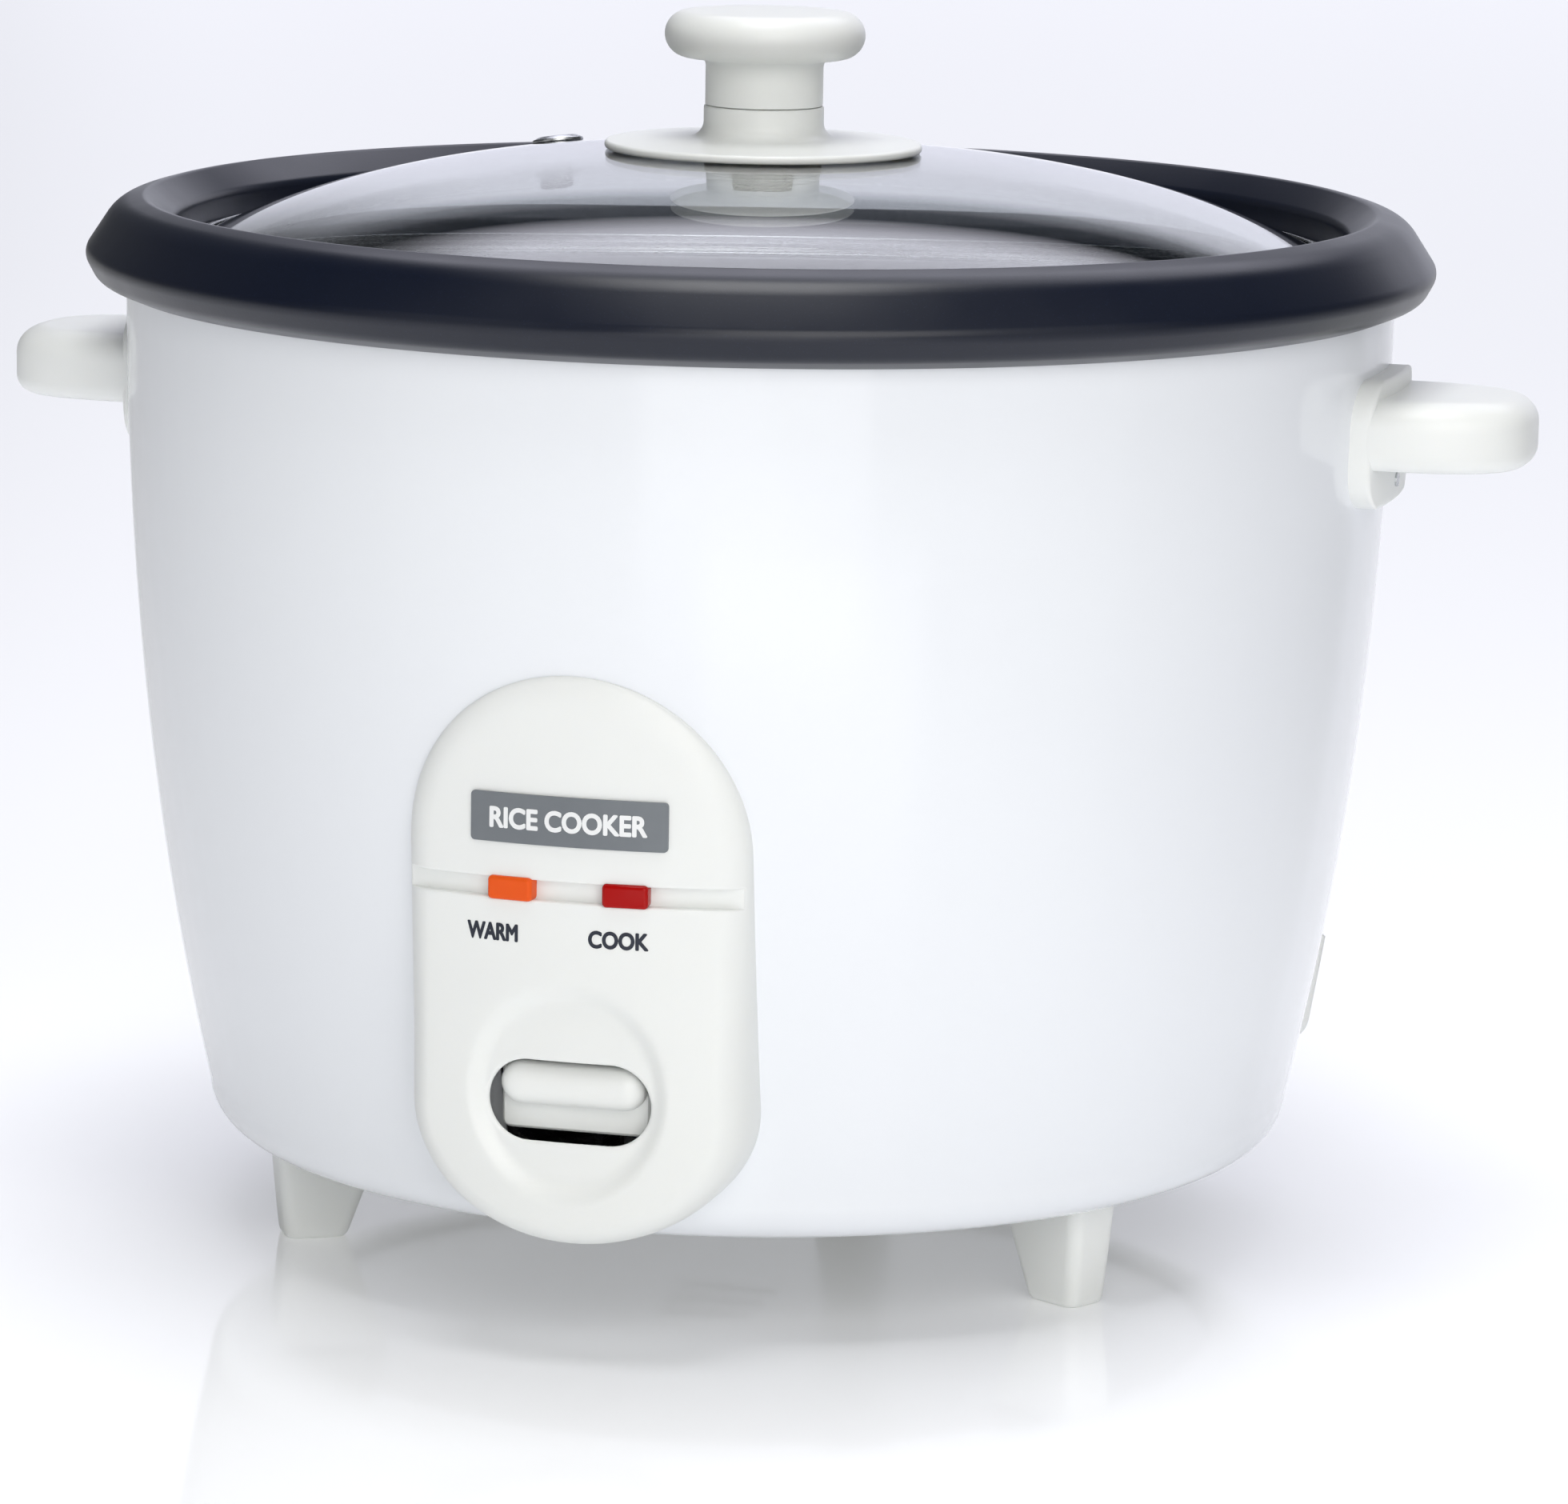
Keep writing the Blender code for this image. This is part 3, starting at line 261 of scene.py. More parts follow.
def makePiece(name, points, faces, finish, body, stands=(), wall=0.0, sharp=38, merge=True):
    # points and faces become a mesh, doubles merge, the faces turn outwards, then a wall may get its
    # thickness; stands names the CAD nodes that the piece stands for
    mesh = bpy.data.meshes.new(name)
    mesh.from_pydata((np.asarray(points).reshape(-1, 3) * mm).tolist(), [], [list(face) for face in faces])
    shape = bmesh.new()
    shape.from_mesh(mesh)
    if merge:
        bmesh.ops.remove_doubles(shape, verts=shape.verts, dist=0.002 * mm)
        bmesh.ops.dissolve_degenerate(shape, edges=shape.edges, dist=0.001 * mm)
        bmesh.ops.recalc_face_normals(shape, faces=shape.faces)
    shape.to_mesh(mesh)
    shape.free()
    mesh.shade_smooth()
    mesh.set_sharp_from_angle(angle=radians(sharp))
    mesh.materials.append(finishes[finish])
    piece = bpy.data.objects.new(name, mesh)
    bpy.context.scene.collection.objects.link(piece)
    if wall:
        thicken = piece.modifiers.new("wall", "SOLIDIFY")
        thicken.thickness = wall * mm
        thicken.offset = -1
    if stands:
        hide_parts(*stands)
    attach(piece, body)


def rounded(corners, steps=6):
    # a closed outline; each corner (across, up, radius) becomes an arc that touches both of its sides
    spots = np.array([corner[:2] for corner in corners], float)
    radii = np.array([corner[2] if len(corner) > 2 else 0.0 for corner in corners])
    back = np.roll(spots, 1, axis=0) - spots
    ahead = np.roll(spots, -1, axis=0) - spots
    backLength, aheadLength = np.linalg.norm(back, axis=1), np.linalg.norm(ahead, axis=1)
    back, ahead = back / backLength[:, None], ahead / aheadLength[:, None]
    half = np.arccos(np.clip((back * ahead).sum(axis=1), -1, 1)) / 2
    reach = np.minimum(radii / np.tan(half), 0.49 * np.minimum(backLength, aheadLength))
    radii = reach * np.tan(half)
    inward = back + ahead
    inward /= np.maximum(np.linalg.norm(inward, axis=1), 1e-9)[:, None]
    middle = spots + inward * (radii / np.sin(half))[:, None]
    start, end = spots + back * reach[:, None] - middle, spots + ahead * reach[:, None] - middle
    sweep = np.maximum(pi - 2 * half, 1e-6)[:, None, None]
    share = np.linspace(0, 1, steps + 1)[None, :, None]
    arcs = np.sin((1 - share) * sweep) * start[:, None] + np.sin(share * sweep) * end[:, None]
    return (arcs / np.sin(sweep) + middle[:, None]).reshape(-1, 2)


def spin(profile, sides=192):
    # every (radius, height) point goes once round the axis
    turn = np.linspace(0, 2 * pi, sides, endpoint=False)
    radius, height = np.asarray(profile, float).T
    return np.stack([np.outer(radius, np.sin(turn)), -np.outer(radius, np.cos(turn)),
                     np.outer(height, np.ones(sides))], axis=-1)


def spunPiece(name, profile, finish, body, stands=(), sides=192):
    # a closed outline of (radius, height) turned about the drum's axis
    faces = gridFaces(len(profile), sides, True, True)
    makePiece(name, spin(profile, sides), faces, finish, body, stands)


def turnTo(points, bearing):
    # turns points made on the panel's side round the axis; a bearing counts from the panel towards +X
    angle = radians(bearing)
    turn = np.array([[cos(angle), -sin(angle), 0], [sin(angle), cos(angle), 0], [0, 0, 1]])
    return points @ turn.T


def boxOutline(halfWidth, low, high, corner, steps=8):
    # a box outline, symmetric about 0, with round corners, and the outward direction at each of its points
    turns = np.concatenate([np.linspace(quarter, quarter + pi / 2, steps + 1)
                            for quarter in (-pi / 2, 0, pi / 2, pi)])
    side = np.repeat([1, 1, -1, -1], steps + 1)
    top = np.repeat([0, 1, 1, 0], steps + 1)
    middle = np.stack([side * (halfWidth - corner), np.where(top, high - corner, low + corner)], axis=-1)
    outward = np.stack([np.cos(turns), np.sin(turns)], axis=-1)
    return middle + corner * outward, outward


def carried(outline, outward, track):
    # an outline carried along a track of (how far outside the outline, how deep), one ring for each step
    offset, depth = np.asarray(track, float).T
    flat = outline[None] + offset[:, None, None] * outward[None]
    return flat[..., 0], flat[..., 1], np.broadcast_to(depth[:, None], flat.shape[:2])


def ringFaces(rings, count):
    # the sides between rings, and one flat face over each end
    return [*gridFaces(rings, count, False, True).tolist(), list(range(count)),
            list(range((rings - 1) * count, rings * count))]


def roll(distance, radius):
    # how deep a quarter-round edge is at a distance inside it
    inside = np.clip(radius - distance, 0, radius)
    return radius - np.sqrt(radius ** 2 - inside ** 2)


drum = {"top": shellHigh[2], "low": shellLow[2], "radius": shellHigh[0], "taper": 19.45, "power": 2.28,
        "corner": 8.5, "wall": 1.2, "lip": 98.0, "leverHole": (17.2, 36.0, 62.0), "leverAt": 50.0,
        "plugHole": (14.3, 36.7, 57.3), "plugAt": 47.0, "plugBearing": 125.0}  # holes: half width, low, high


def drumRadius(height):
    # the drum narrows by a power curve from its top to its floor, then turns in round its bottom corner
    height = np.clip(height, drum["low"], drum["top"])
    share = (drum["top"] - height) / (drum["top"] - drum["low"])
    side = drum["radius"] - drum["taper"] * share ** drum["power"]
    cornerTop = drum["low"] + drum["corner"]
    cornerShare = (drum["top"] - cornerTop) / (drum["top"] - drum["low"])
    edge = drum["radius"] - drum["taper"] * cornerShare ** drum["power"]
    fall = np.clip(cornerTop - height, 0, drum["corner"])
    turned = edge - drum["corner"] + np.sqrt(drum["corner"] ** 2 - fall ** 2)
    return np.where(height < cornerTop, turned, side)


def drumShell():
    # height times bearing; cells inside the lever's and the plug's openings are left out before the wall
    # is made, and an opening's width is measured round the drum at the height named At
    cornerTurn = np.linspace(0, pi / 2, 14)
    cornerRise = drum["low"] + drum["corner"] * (1 - np.cos(cornerTurn))
    halfWidth, holeLow, holeHigh = drum["leverHole"]
    plugHalf, plugLow, plugHigh = drum["plugHole"]
    heights = np.unique(np.concatenate([cornerRise, np.linspace(cornerRise[-1], drum["top"], 90),
                                        [holeLow, holeHigh, plugLow, plugHigh]]))
    radii = np.concatenate([[drum["lip"]], drumRadius(heights)])
    heights = np.concatenate([[drum["low"]], heights])
    leverTurn = np.degrees(np.arcsin(halfWidth / drumRadius(drum["leverAt"])))
    plugTurn = np.degrees(np.arcsin(plugHalf / drumRadius(drum["plugAt"])))
    plugBearing = drum["plugBearing"]
    turn = np.unique(np.concatenate([np.linspace(-180, 180, 257)[:-1], [-leverTurn, leverTurn],
                                     [plugBearing - plugTurn, plugBearing + plugTurn]]))
    bearings = np.radians(turn)
    points = np.stack([np.outer(radii, np.sin(bearings)), -np.outer(radii, np.cos(bearings)),
                       np.outer(heights, np.ones(len(turn)))], axis=-1)
    middleTurn = (turn + np.append(turn[1:], 180)) / 2
    middleHeight = (heights[1:] + heights[:-1]) / 2
    lever = np.outer((middleHeight > holeLow) & (middleHeight < holeHigh), np.abs(middleTurn) < leverTurn)
    plug = np.outer((middleHeight > plugLow) & (middleHeight < plugHigh),
                    np.abs(middleTurn - plugBearing) < plugTurn)
    faces = gridFaces(len(radii), len(turn), False, True, ~(lever | plug))
    makePiece("drumShell", points, faces, "enamel", "root", ("outer_shell",), wall=drum["wall"])


drumShell()
print("drum made")


pot = {"wall": 1.5, "radius": 115.5, "floor": potLow[2], "corner": 24, "ledgeRadius": 119.8, "ledge": 198.3,
       "ridgeRadius": 125.6, "ridge": potHigh[2], "rimRadius": potHigh[0], "rim": 201.6, "lipRadius": 130.7,
       "lip": 195.6}


def innerPot():
    # a closed profile of (radius, height, rounding): up the outside, under and over the rim, across the
    # ledge and down the inside
    wall, radius, low = pot["wall"], pot["radius"], pot["floor"]
    ledge, ridge, rim, lip = pot["ledgeRadius"], pot["ridgeRadius"], pot["rimRadius"], pot["lipRadius"]
    ledgeHigh, ridgeHigh, rimHigh, lipHigh = pot["ledge"], pot["ridge"], pot["rim"], pot["lip"]
    corners = [(0, low), (radius, low, pot["corner"]), (radius, ledgeHigh - wall, 0.8),
               (ledge + wall, ledgeHigh - wall, 1.0), (ledge + wall, ridgeHigh - 6, 3),
               (ridge, ridgeHigh - wall - 0.6, 2.5), (rim - 3.2, rimHigh + 1.2, 1.6),
               (lip + 0.6, lipHigh + 1.2, 0.3), (lip, lipHigh, 0.5), (rim - 2.0, rimHigh - 3.9, 4.0),
               (rim + 0.6, rimHigh + 1.0, 3.2), (ridge + 6.5, ridgeHigh - 1.6, 9),
               (ridge + 0.3, ridgeHigh + 0.15, 1.8), (ledge - 0.2, ridgeHigh - 4.6, 2.4),
               (ledge, ledgeHigh, 0.4), (radius - wall, ledgeHigh, 1.2),
               (radius - wall, low + wall, pot["corner"] - wall), (0, low + wall)]
    spunPiece("innerPot", rounded(corners, 9), "dark_coating", "pot", ("inner_pot",), sides=256)


case = {"radius": 118.0, "wall": 1.2, "top": 194.0, "flange": 128.0, "floor": 54.0, "corner": 24.0,
        "hole": 22.0}


def heatShield():
    # a closed profile: a flange, down the wall, across the floor to its hole and back inside
    wall, radius, top, floor = case["wall"], case["radius"], case["top"], case["floor"]
    corners = [(case["flange"], top + wall, 0.5), (case["flange"], top, 0.5), (radius, top, 1.5),
               (radius, floor, case["corner"]), (case["hole"], floor), (case["hole"], floor + wall),
               (radius - wall, floor + wall, case["corner"] - wall), (radius - wall, top + wall, 2.0)]
    spunPiece("heatShield", rounded(corners), "aluminium", "root", ("inner_case",))


heater = {"hole": 20.0, "ringOut": 14.0, "ringIn": 31.0, "slope": 3.0, "thin": 2.0, "cap": 17.0, "wall": 1.0}


def heatingPlate():
    # a cast plate with the element's raised ring under it, and the drawn cap of the thermostat in its hole
    top, radius, low = plateHigh[2], plateHigh[0], plateLow[2]
    hole, slope, cap, wall = heater["hole"], heater["slope"], heater["cap"], heater["wall"]
    ringOut, ringIn, web = radius - heater["ringOut"], radius - heater["ringIn"], low + heater["thin"]
    corners = [(hole, top, 1), (radius, top, 6), (radius, web, 1), (ringOut, web, 1.5),
               (ringOut - slope, low, 1.5), (ringIn, low, 1.5), (ringIn - slope, low + slope, 1.5),
               (hole, low + slope, 0.5)]
    spunPiece("heatingPlate", rounded(corners), "castAluminium", "root", ("heating_plate",))
    corners = [(0, top), (cap, top, 1.4), (cap, low + wall, 0.3), (cap - wall, low + wall, 0.3),
               (cap - wall, top - wall, 0.8), (0, top - wall)]
    spunPiece("sensorCap", rounded(corners), "aluminium", "sensor", ("sensor_cap",), sides=96)


innerPot()
heatShield()
heatingPlate()
print("pot and heating made")


lid = {"radius": 117.5, "apex": glassHigh[2], "rise": 21.4, "round": 0.54, "glass": 4.0, "edge": 1.2,
       "hole": 2.8, "band": 119.3, "ventAt": 66.0, "ventBearing": -123.0}


def dome(radius):
    # the glass's upper face: part plain arc, part steeper towards the edge
    share = np.asarray(radius) / lid["radius"]
    return lid["apex"] - lid["rise"] * (lid["round"] * share ** 2 + (1 - lid["round"]) * share ** 4)


def domeGlass():
    # the dome's curve out along the top, a ground round edge, and back underneath
    edge, half = lid["edge"], lid["glass"] / 2
    flatEnd = lid["radius"] - edge
    out = np.linspace(lid["hole"], flatEnd, 60)
    turn = np.linspace(0, pi, 9)[1:-1]
    ground = np.stack([flatEnd + edge * np.sin(turn), dome(flatEnd) - half + half * np.cos(turn)], axis=-1)
    top = np.stack([out, dome(out)], axis=-1)
    under = np.stack([out, dome(out) - lid["glass"]], axis=-1)[::-1]
    spunPiece("domeGlass", np.vstack([top, ground, under]), "clear_glass", "lid", ("glass_lid",),
              sides=256)


def lidBand():
    # a rolled steel channel round the glass's edge
    radius, band = lid["radius"], lid["band"]
    low, top, inner = pot["ledge"] + 0.3, float(dome(radius)) + 0.3, radius - 2.4
    lift = float(dome(inner) - dome(radius))
    corners = [(band, low, 0.6), (band, top + 0.5, 0.6), (inner, top + lift + 0.5, 0.2),
               (inner, top + lift, 0.2), (radius + 0.3, top, 0.2), (radius + 0.3, low + 0.5, 0.2),
               (inner, low + 0.5, 0.2), (inner, low, 0.2)]
    spunPiece("lidBand", rounded(corners, 4), "steel", "lid", ("lid_rim_band",), sides=256)


def steamVent():
    # a pressed eyelet with a rolled edge; it leans with the glass, so its height falls with the way out
    at = lid["ventAt"]
    height, slope = float(dome(at)), float(dome(at - 1) - dome(at + 1)) / 2
    corners = [(1.6, height + 0.7, 0.3), (3.7, height + 1.5, 0.6), (5.4, height + 0.8, 0.5),
               (5.4, height + 0.1, 0.2), (3.5, height + 0.1, 0.1), (3.5, height - 6, 0.3),
               (1.6, height - 6, 0.3)]
    points = spin(rounded(corners), 64)
    points[..., 2] += slope * points[..., 1]
    points[..., 1] -= at
    faces = gridFaces(*points.shape[:2], True, True)
    makePiece("steamVent", turnTo(points, lid["ventBearing"]), faces, "steel", "lid", ("vent_grommet",))


knob = {"flange": knobHigh[0], "stem": 12.3, "bore": 2.4, "seam": 233.2, "cap": 20.5, "capLow": 243.0,
        "top": knobHigh[2], "crown": 0.9, "edge": 4.75}


def knobPieces():
    # the base flares from its stem to a thin flange; the cap is a mushroom with a coved neck
    edge = float(dome(knob["flange"])) + 0.3
    stem, seam, bore, flange = knob["stem"], knob["seam"], knob["bore"], knob["flange"]
    floor = lid["apex"] + 0.6
    corners = [(bore, seam, 0.1), (stem, seam, 0.35), (stem, edge + 2.7, 3.6), (flange, edge + 1.7, 0.8),
               (flange, edge, 0.7), (flange - 3, edge, 0.2), (flange - 4, floor), (bore, floor)]
    spunPiece("knobBase", rounded(corners, 10), "white_plastic", "lid", ("knob_base",), sides=128)
    top, low, neck, cap, bulge = knob["top"], knob["capLow"], stem - 0.25, knob["cap"], knob["edge"]
    crown = np.linspace(0, cap - bulge + 0.15, 12)
    crownTop = np.stack([crown, top - knob["crown"] * (crown / cap) ** 2], axis=-1)
    bead = np.linspace(radians(78), radians(-84), 22)
    half = (crownTop[-1, 1] - low) / 2
    side = np.stack([cap - bulge + bulge * np.cos(bead), low + half + half * np.sin(bead)], axis=-1)
    under = rounded([(cap - 5, low - 0.02), (neck, low - 0.02, 1.7), (neck, seam + 0.15, 0.3),
                     (bore, seam + 0.15), (bore, low + 2), (0, low + 2), (0, low + 4)], 6)
    spunPiece("knobCap", np.vstack([crownTop, side, under]), "white_plastic", "lid", ("knob_cap",), sides=128)


domeGlass()
lidBand()
steamVent()
knobPieces()
print("lid made")


panel = {"front": 129.5, "halfWidth": 34.0, "top": panelHigh[2], "low": panelLow[2], "fillet": 5.5,
         "chin": 27.2, "filletDepth": 9.0, "sunk": 0.8, "wall": 2.6, "groove": (92.0, 96.0),
         "grooveDepth": 2.2, "grooveHalf": 33.2, "grooveRoll": 0.4, "window": (16.2, 44.5, 60.4),
         "windowRoll": 0.8, "dish": (20.5, 22.0, 54.5), "dishDepth": 2.0, "dishSlope": 0.2}


def panelBody():
    # rows of height times columns across. Inside the inner outline the columns run from the middle to the
    # window's edge and on to the outline; past it they follow the outline's outward direction round a soft
    # edge and back along the side to the drum. Depth behind the curved front is the sum of dish, edge rolls
    # and groove at each point.
    inset = panel["fillet"]
    half = panel["halfWidth"] - inset
    shoulder = panel["top"] - panel["halfWidth"]
    chin = panel["low"] + panel["chin"]
    topReach, lowReach = panel["top"] - inset - shoulder, panel["chin"] - inset
    windowHalf, windowLow, windowHigh = panel["window"]
    endRadius = (windowHigh - windowLow) / 2
    windowMiddle, straight = windowLow + endRadius, windowHalf - endRadius
    grooveLow, grooveHigh = panel["groove"]
    near = np.array([0, 0.02, 0.06, 0.12, 0.2, 0.3, 0.42, 0.6, 0.85, 1.2])
    quarter = np.linspace(0, pi / 2, 26)
    rows = np.unique(np.round(np.concatenate([
        chin - lowReach * np.cos(quarter), shoulder + topReach * np.sin(quarter),
        np.linspace(chin, shoulder, 44), windowMiddle - endRadius * np.cos(np.linspace(0, pi, 36)),
        windowLow - near, windowHigh + near, grooveLow - near, grooveLow + near[1:3], grooveHigh + near,
        grooveHigh - near[1:3]]), 4))
    below, above = np.clip(chin - rows, 0, lowReach), np.clip(rows - shoulder, 0, topReach)
    edge = half * np.sqrt(np.clip(1 - (below / lowReach) ** 2 - (above / topReach) ** 2, 0, 1))
    outX = edge / half ** 2
    outZ = above / topReach ** 2 - below / lowReach ** 2
    size = np.hypot(outX, outZ)
    outX, outZ = outX / size, outZ / size
    inWindow = (rows >= windowLow - 1e-6) & (rows <= windowHigh + 1e-6)
    holeEdge = straight + np.sqrt(np.clip(endRadius ** 2 - (rows - windowMiddle) ** 2, 0, None))
    holeEdge = np.where(inWindow, holeEdge, np.minimum(straight, 0.35 * edge))
    innerShare, outerShare = np.linspace(0, 1, 9), np.linspace(0, 1, 34)[1:] ** 1.9
    front = np.concatenate([holeEdge[:, None] * innerShare,
                            holeEdge[:, None] + (edge - holeEdge)[:, None] * outerShare], axis=1)
    grooveEnd = np.arcsin((panel["grooveHalf"] - half + np.array([-0.05, -0.02, 0, 0.1, 0.25, 0.45])) / inset)
    turn = np.unique(np.concatenate([np.linspace(0, pi / 2, 16)[1:], grooveEnd]))
    back = np.linspace(0, 1, 5)[1:]
    x = np.concatenate([front, edge[:, None] + outX[:, None] * inset * np.sin(turn),
                        np.repeat((edge + outX * inset)[:, None], len(back), axis=1)], axis=1)
    z = np.concatenate([np.repeat(rows[:, None], front.shape[1], axis=1),
                        rows[:, None] + outZ[:, None] * inset * np.sin(turn),
                        np.repeat((rows + outZ * inset)[:, None], len(back), axis=1)], axis=1)
    y = -np.sqrt(panel["front"] ** 2 - x ** 2)
    drumY = -np.sqrt(drumRadius(z[:, -1]) ** 2 - x[:, -1] ** 2)
    stand = drumY - y[:, -1]
    softDepth = np.minimum(panel["filletDepth"], 0.8 * stand)
    frontCount, turnCount = front.shape[1], len(turn)
    y[:, frontCount:frontCount + turnCount] += softDepth[:, None] * (1 - np.cos(turn))
    y[:, frontCount + turnCount:] += softDepth[:, None] + (stand + panel["sunk"] - softDepth)[:, None] * back
    dishHalf, dishTall, dishMiddle = panel["dish"]
    bowl = 1 - np.hypot(x / dishHalf, (z - dishMiddle) / dishTall)
    bowl = np.clip(bowl / panel["dishSlope"], 0, 1)
    y += panel["dishDepth"] * bowl ** 2 * (3 - 2 * bowl)
    windowGap = np.hypot(np.clip(x - straight, 0, None), z - windowMiddle) - endRadius
    y += np.where(windowGap < panel["windowRoll"], roll(windowGap, panel["windowRoll"]), 0)
    grooveAway = np.abs(z - (grooveLow + grooveHigh) / 2) - (grooveHigh - grooveLow) / 2
    grooveGap = np.hypot(np.clip(x - panel["grooveHalf"], 0, None), np.clip(grooveAway, 0, None))
    floor = -np.sqrt(np.clip((panel["front"] - panel["grooveDepth"]) ** 2 - x ** 2, 0, None))
    y = np.where(grooveGap <= 0.001, np.maximum(y, floor), y + roll(grooveGap, panel["grooveRoll"]))
    right = np.stack([x, y, z], axis=-1)
    points = np.concatenate([right[:, :0:-1] * np.array([-1, 1, 1]), right], axis=1)
    columns = points.shape[1]
    middle = columns // 2
    cellRow = (rows[1:] + rows[:-1]) / 2
    hole = np.outer((cellRow > windowLow) & (cellRow < windowHigh),
                    np.abs(np.arange(columns - 1) + 0.5 - middle) < len(innerShare) - 1)
    makePiece("panelBody", points, gridFaces(len(rows), columns, keep=~hole), "white_plastic", "root",
              ("control_panel",), wall=panel["wall"])


panelBody()
print("panel made")


lens = {"half": 4.5, "corner": 0.9, "lift": 0.1, "deep": 6.6, "edge": 0.8, "front": 130.4, "seat": 126.5}


def lensPiece(name, node, finish):
    # a box with round edges: an outline carried back from its face, set where the CAD lens stands
    low, high = nodeBox(node)
    bearing = np.degrees(np.arctan2((low[0] + high[0]) / 2, lens["seat"]))
    edge, lift = lens["edge"], lens["lift"]
    outline, outward = boxOutline(lens["half"], low[2] + lift, high[2] + lift, lens["corner"], 5)
    turn = np.linspace(0, pi / 2, 7)
    track = [(0, lens["deep"]), *[(-edge + edge * cos(t), edge - edge * sin(t)) for t in turn]]
    x, z, depth = carried(outline, outward, track)
    points = turnTo(np.stack([x, depth - lens["front"], z], axis=-1), bearing)
    makePiece(name, points, ringFaces(len(track), len(outline)), finish, "root", (node,))


lensPiece("warmLens", "warm_lens", "orange_lens")
lensPiece("cookLens", "cook_lens", "red_lens")


badge = {"halfWidth": 19.6, "low": 103.0, "high": 112.6, "corner": 0.8, "gap": 0.05, "thick": 0.5,
         "edge": 0.8}


def badgePlate():
    # a thin plate on the panel's curve: rows of height times columns, with its outer ring turned down
    low, high, corner = badge["low"], badge["high"], badge["corner"]
    rise = np.linspace(0, pi / 2, 6)
    rows = np.concatenate([low + corner * (1 - np.cos(rise)), high - corner * (1 - np.cos(rise[::-1]))])
    tuck = np.clip(np.maximum(low + corner - rows, rows - high + corner), 0, corner)
    half = badge["halfWidth"] - corner + np.sqrt(corner ** 2 - tuck ** 2)
    x = half[:, None] * np.linspace(-1, 1, 41)
    z = np.repeat(rows[:, None], 41, axis=1)
    face = panel["front"] + badge["gap"] + badge["thick"]
    top = np.stack([x, -np.sqrt(face ** 2 - x ** 2), z], axis=-1)
    ring = np.pad(top, ((1, 1), (1, 1), (0, 0)), mode="edge")
    ring[[0, -1], :, 1] += badge["edge"]
    ring[1:-1, [0, -1], 1] += badge["edge"]
    faces = gridFaces(*ring.shape[:2])
    makePiece("badgePlate", ring, faces, "grey_badge", "root", ("badge_plate",), sharp=30)


labels = {  # words, middle across and up, height, width, radius, finish and how much each stroke is thickened
    "badgeWords": ("RICE COOKER", (0, 107.8), 4.2, 31.5, panel["front"] + 0.6, "letters", 0.2),
    "warmWord": ("WARM", (-15.1, 85.4), 3.5, 10.6, panel["front"] + 0.05, "print", 0.17),
    "cookWord": ("COOK", (10.2, 85.4), 3.5, 11.8, panel["front"] + 0.05, "print", 0.17)}
labelStep = 0.0015  # each copy of a word stands this far over the last, so that no two lie in one plane


def printed(name, words, middle, height, width, radius, finish, heavy):
    # generic words as a mesh bent round the drum's axis; copies shifted round a small circle make the
    # strokes heavy
    text = bpy.data.curves.new(name, "FONT")
    text.body = words
    text.resolution_u = 6
    holder = bpy.data.objects.new(name + "Text", text)
    bpy.context.scene.collection.objects.link(holder)
    bpy.context.view_layer.update()
    flat = bpy.data.meshes.new_from_object(holder.evaluated_get(bpy.context.evaluated_depsgraph_get()))
    bpy.data.objects.remove(holder)
    spots = np.zeros(len(flat.vertices) * 3)
    flat.vertices.foreach_get("co", spots)
    spots = spots.reshape(-1, 3)[:, :2]
    low, high = spots.min(axis=0), spots.max(axis=0)
    spots = (spots - (low + high) / 2) / (high - low) * (np.array([width, height]) - 2 * heavy)
    turn = np.linspace(0, 2 * pi, 13)[:-1]
    copies = spots[None] + heavy * np.stack([np.cos(turn), np.sin(turn)], axis=-1)[:, None] + middle
    lift = radius + labelStep * np.arange(len(turn))[:, None]
    angle = copies[..., 0] / radius
    points = np.stack([lift * np.sin(angle), -lift * np.cos(angle), copies[..., 1]], axis=-1)
    faces = [[step * len(spots) + corner for corner in face.vertices] for step in range(len(turn))
             for face in flat.polygons]
    bpy.data.meshes.remove(flat)
    makePiece(name, points, faces, finish, "root", merge=False)


badgePlate()
for labelName, label in labels.items():
    printed(labelName, *label)
print("labels made")


lever = {"half": 14.5, "tall": 4.35, "middle": 55.3, "front": 126.8, "round": 3.4, "skirtHalf": 14.9,
         "skirtFront": 122.0, "skirtBack": 119.5, "skirtLow": 45.6, "skirtCorner": 1.6, "skirtEdge": 0.5}


def leverPaddle():
    # a pill-shaped outline carried forward while it closes in along a quarter ellipse
    tall, front, nose, top = lever["tall"], lever["front"], lever["round"], lever["middle"] + lever["tall"]
    outline, outward = boxOutline(lever["half"], lever["middle"] - tall, top, tall - 0.01, 12)
    turn = np.linspace(0, pi / 2 - 0.12, 12)
    track = [(0, lever["skirtBack"]), (0, front - nose)]
    track += [(-(tall - 0.1) * (1 - cos(t)), front - nose * (1 - sin(t))) for t in turn]
    x, z, depth = carried(outline, outward, track)
    makePiece("leverPaddle", np.stack([x, -depth, z], axis=-1), ringFaces(len(track), len(outline)),
              "white_plastic", "lever", ("lever_paddle",), sharp=60)
    edge = lever["skirtEdge"]
    outline, outward = boxOutline(lever["skirtHalf"], lever["skirtLow"], top, lever["skirtCorner"], 5)
    track = [(0, lever["skirtBack"]), (0, lever["skirtFront"] - edge), (-edge, lever["skirtFront"])]
    x, z, depth = carried(outline, outward, track)
    makePiece("leverSkirt", np.stack([x, -depth, z], axis=-1), ringFaces(len(track), len(outline)),
              "white_plastic", "lever")


leverPaddle()
print("lever made")


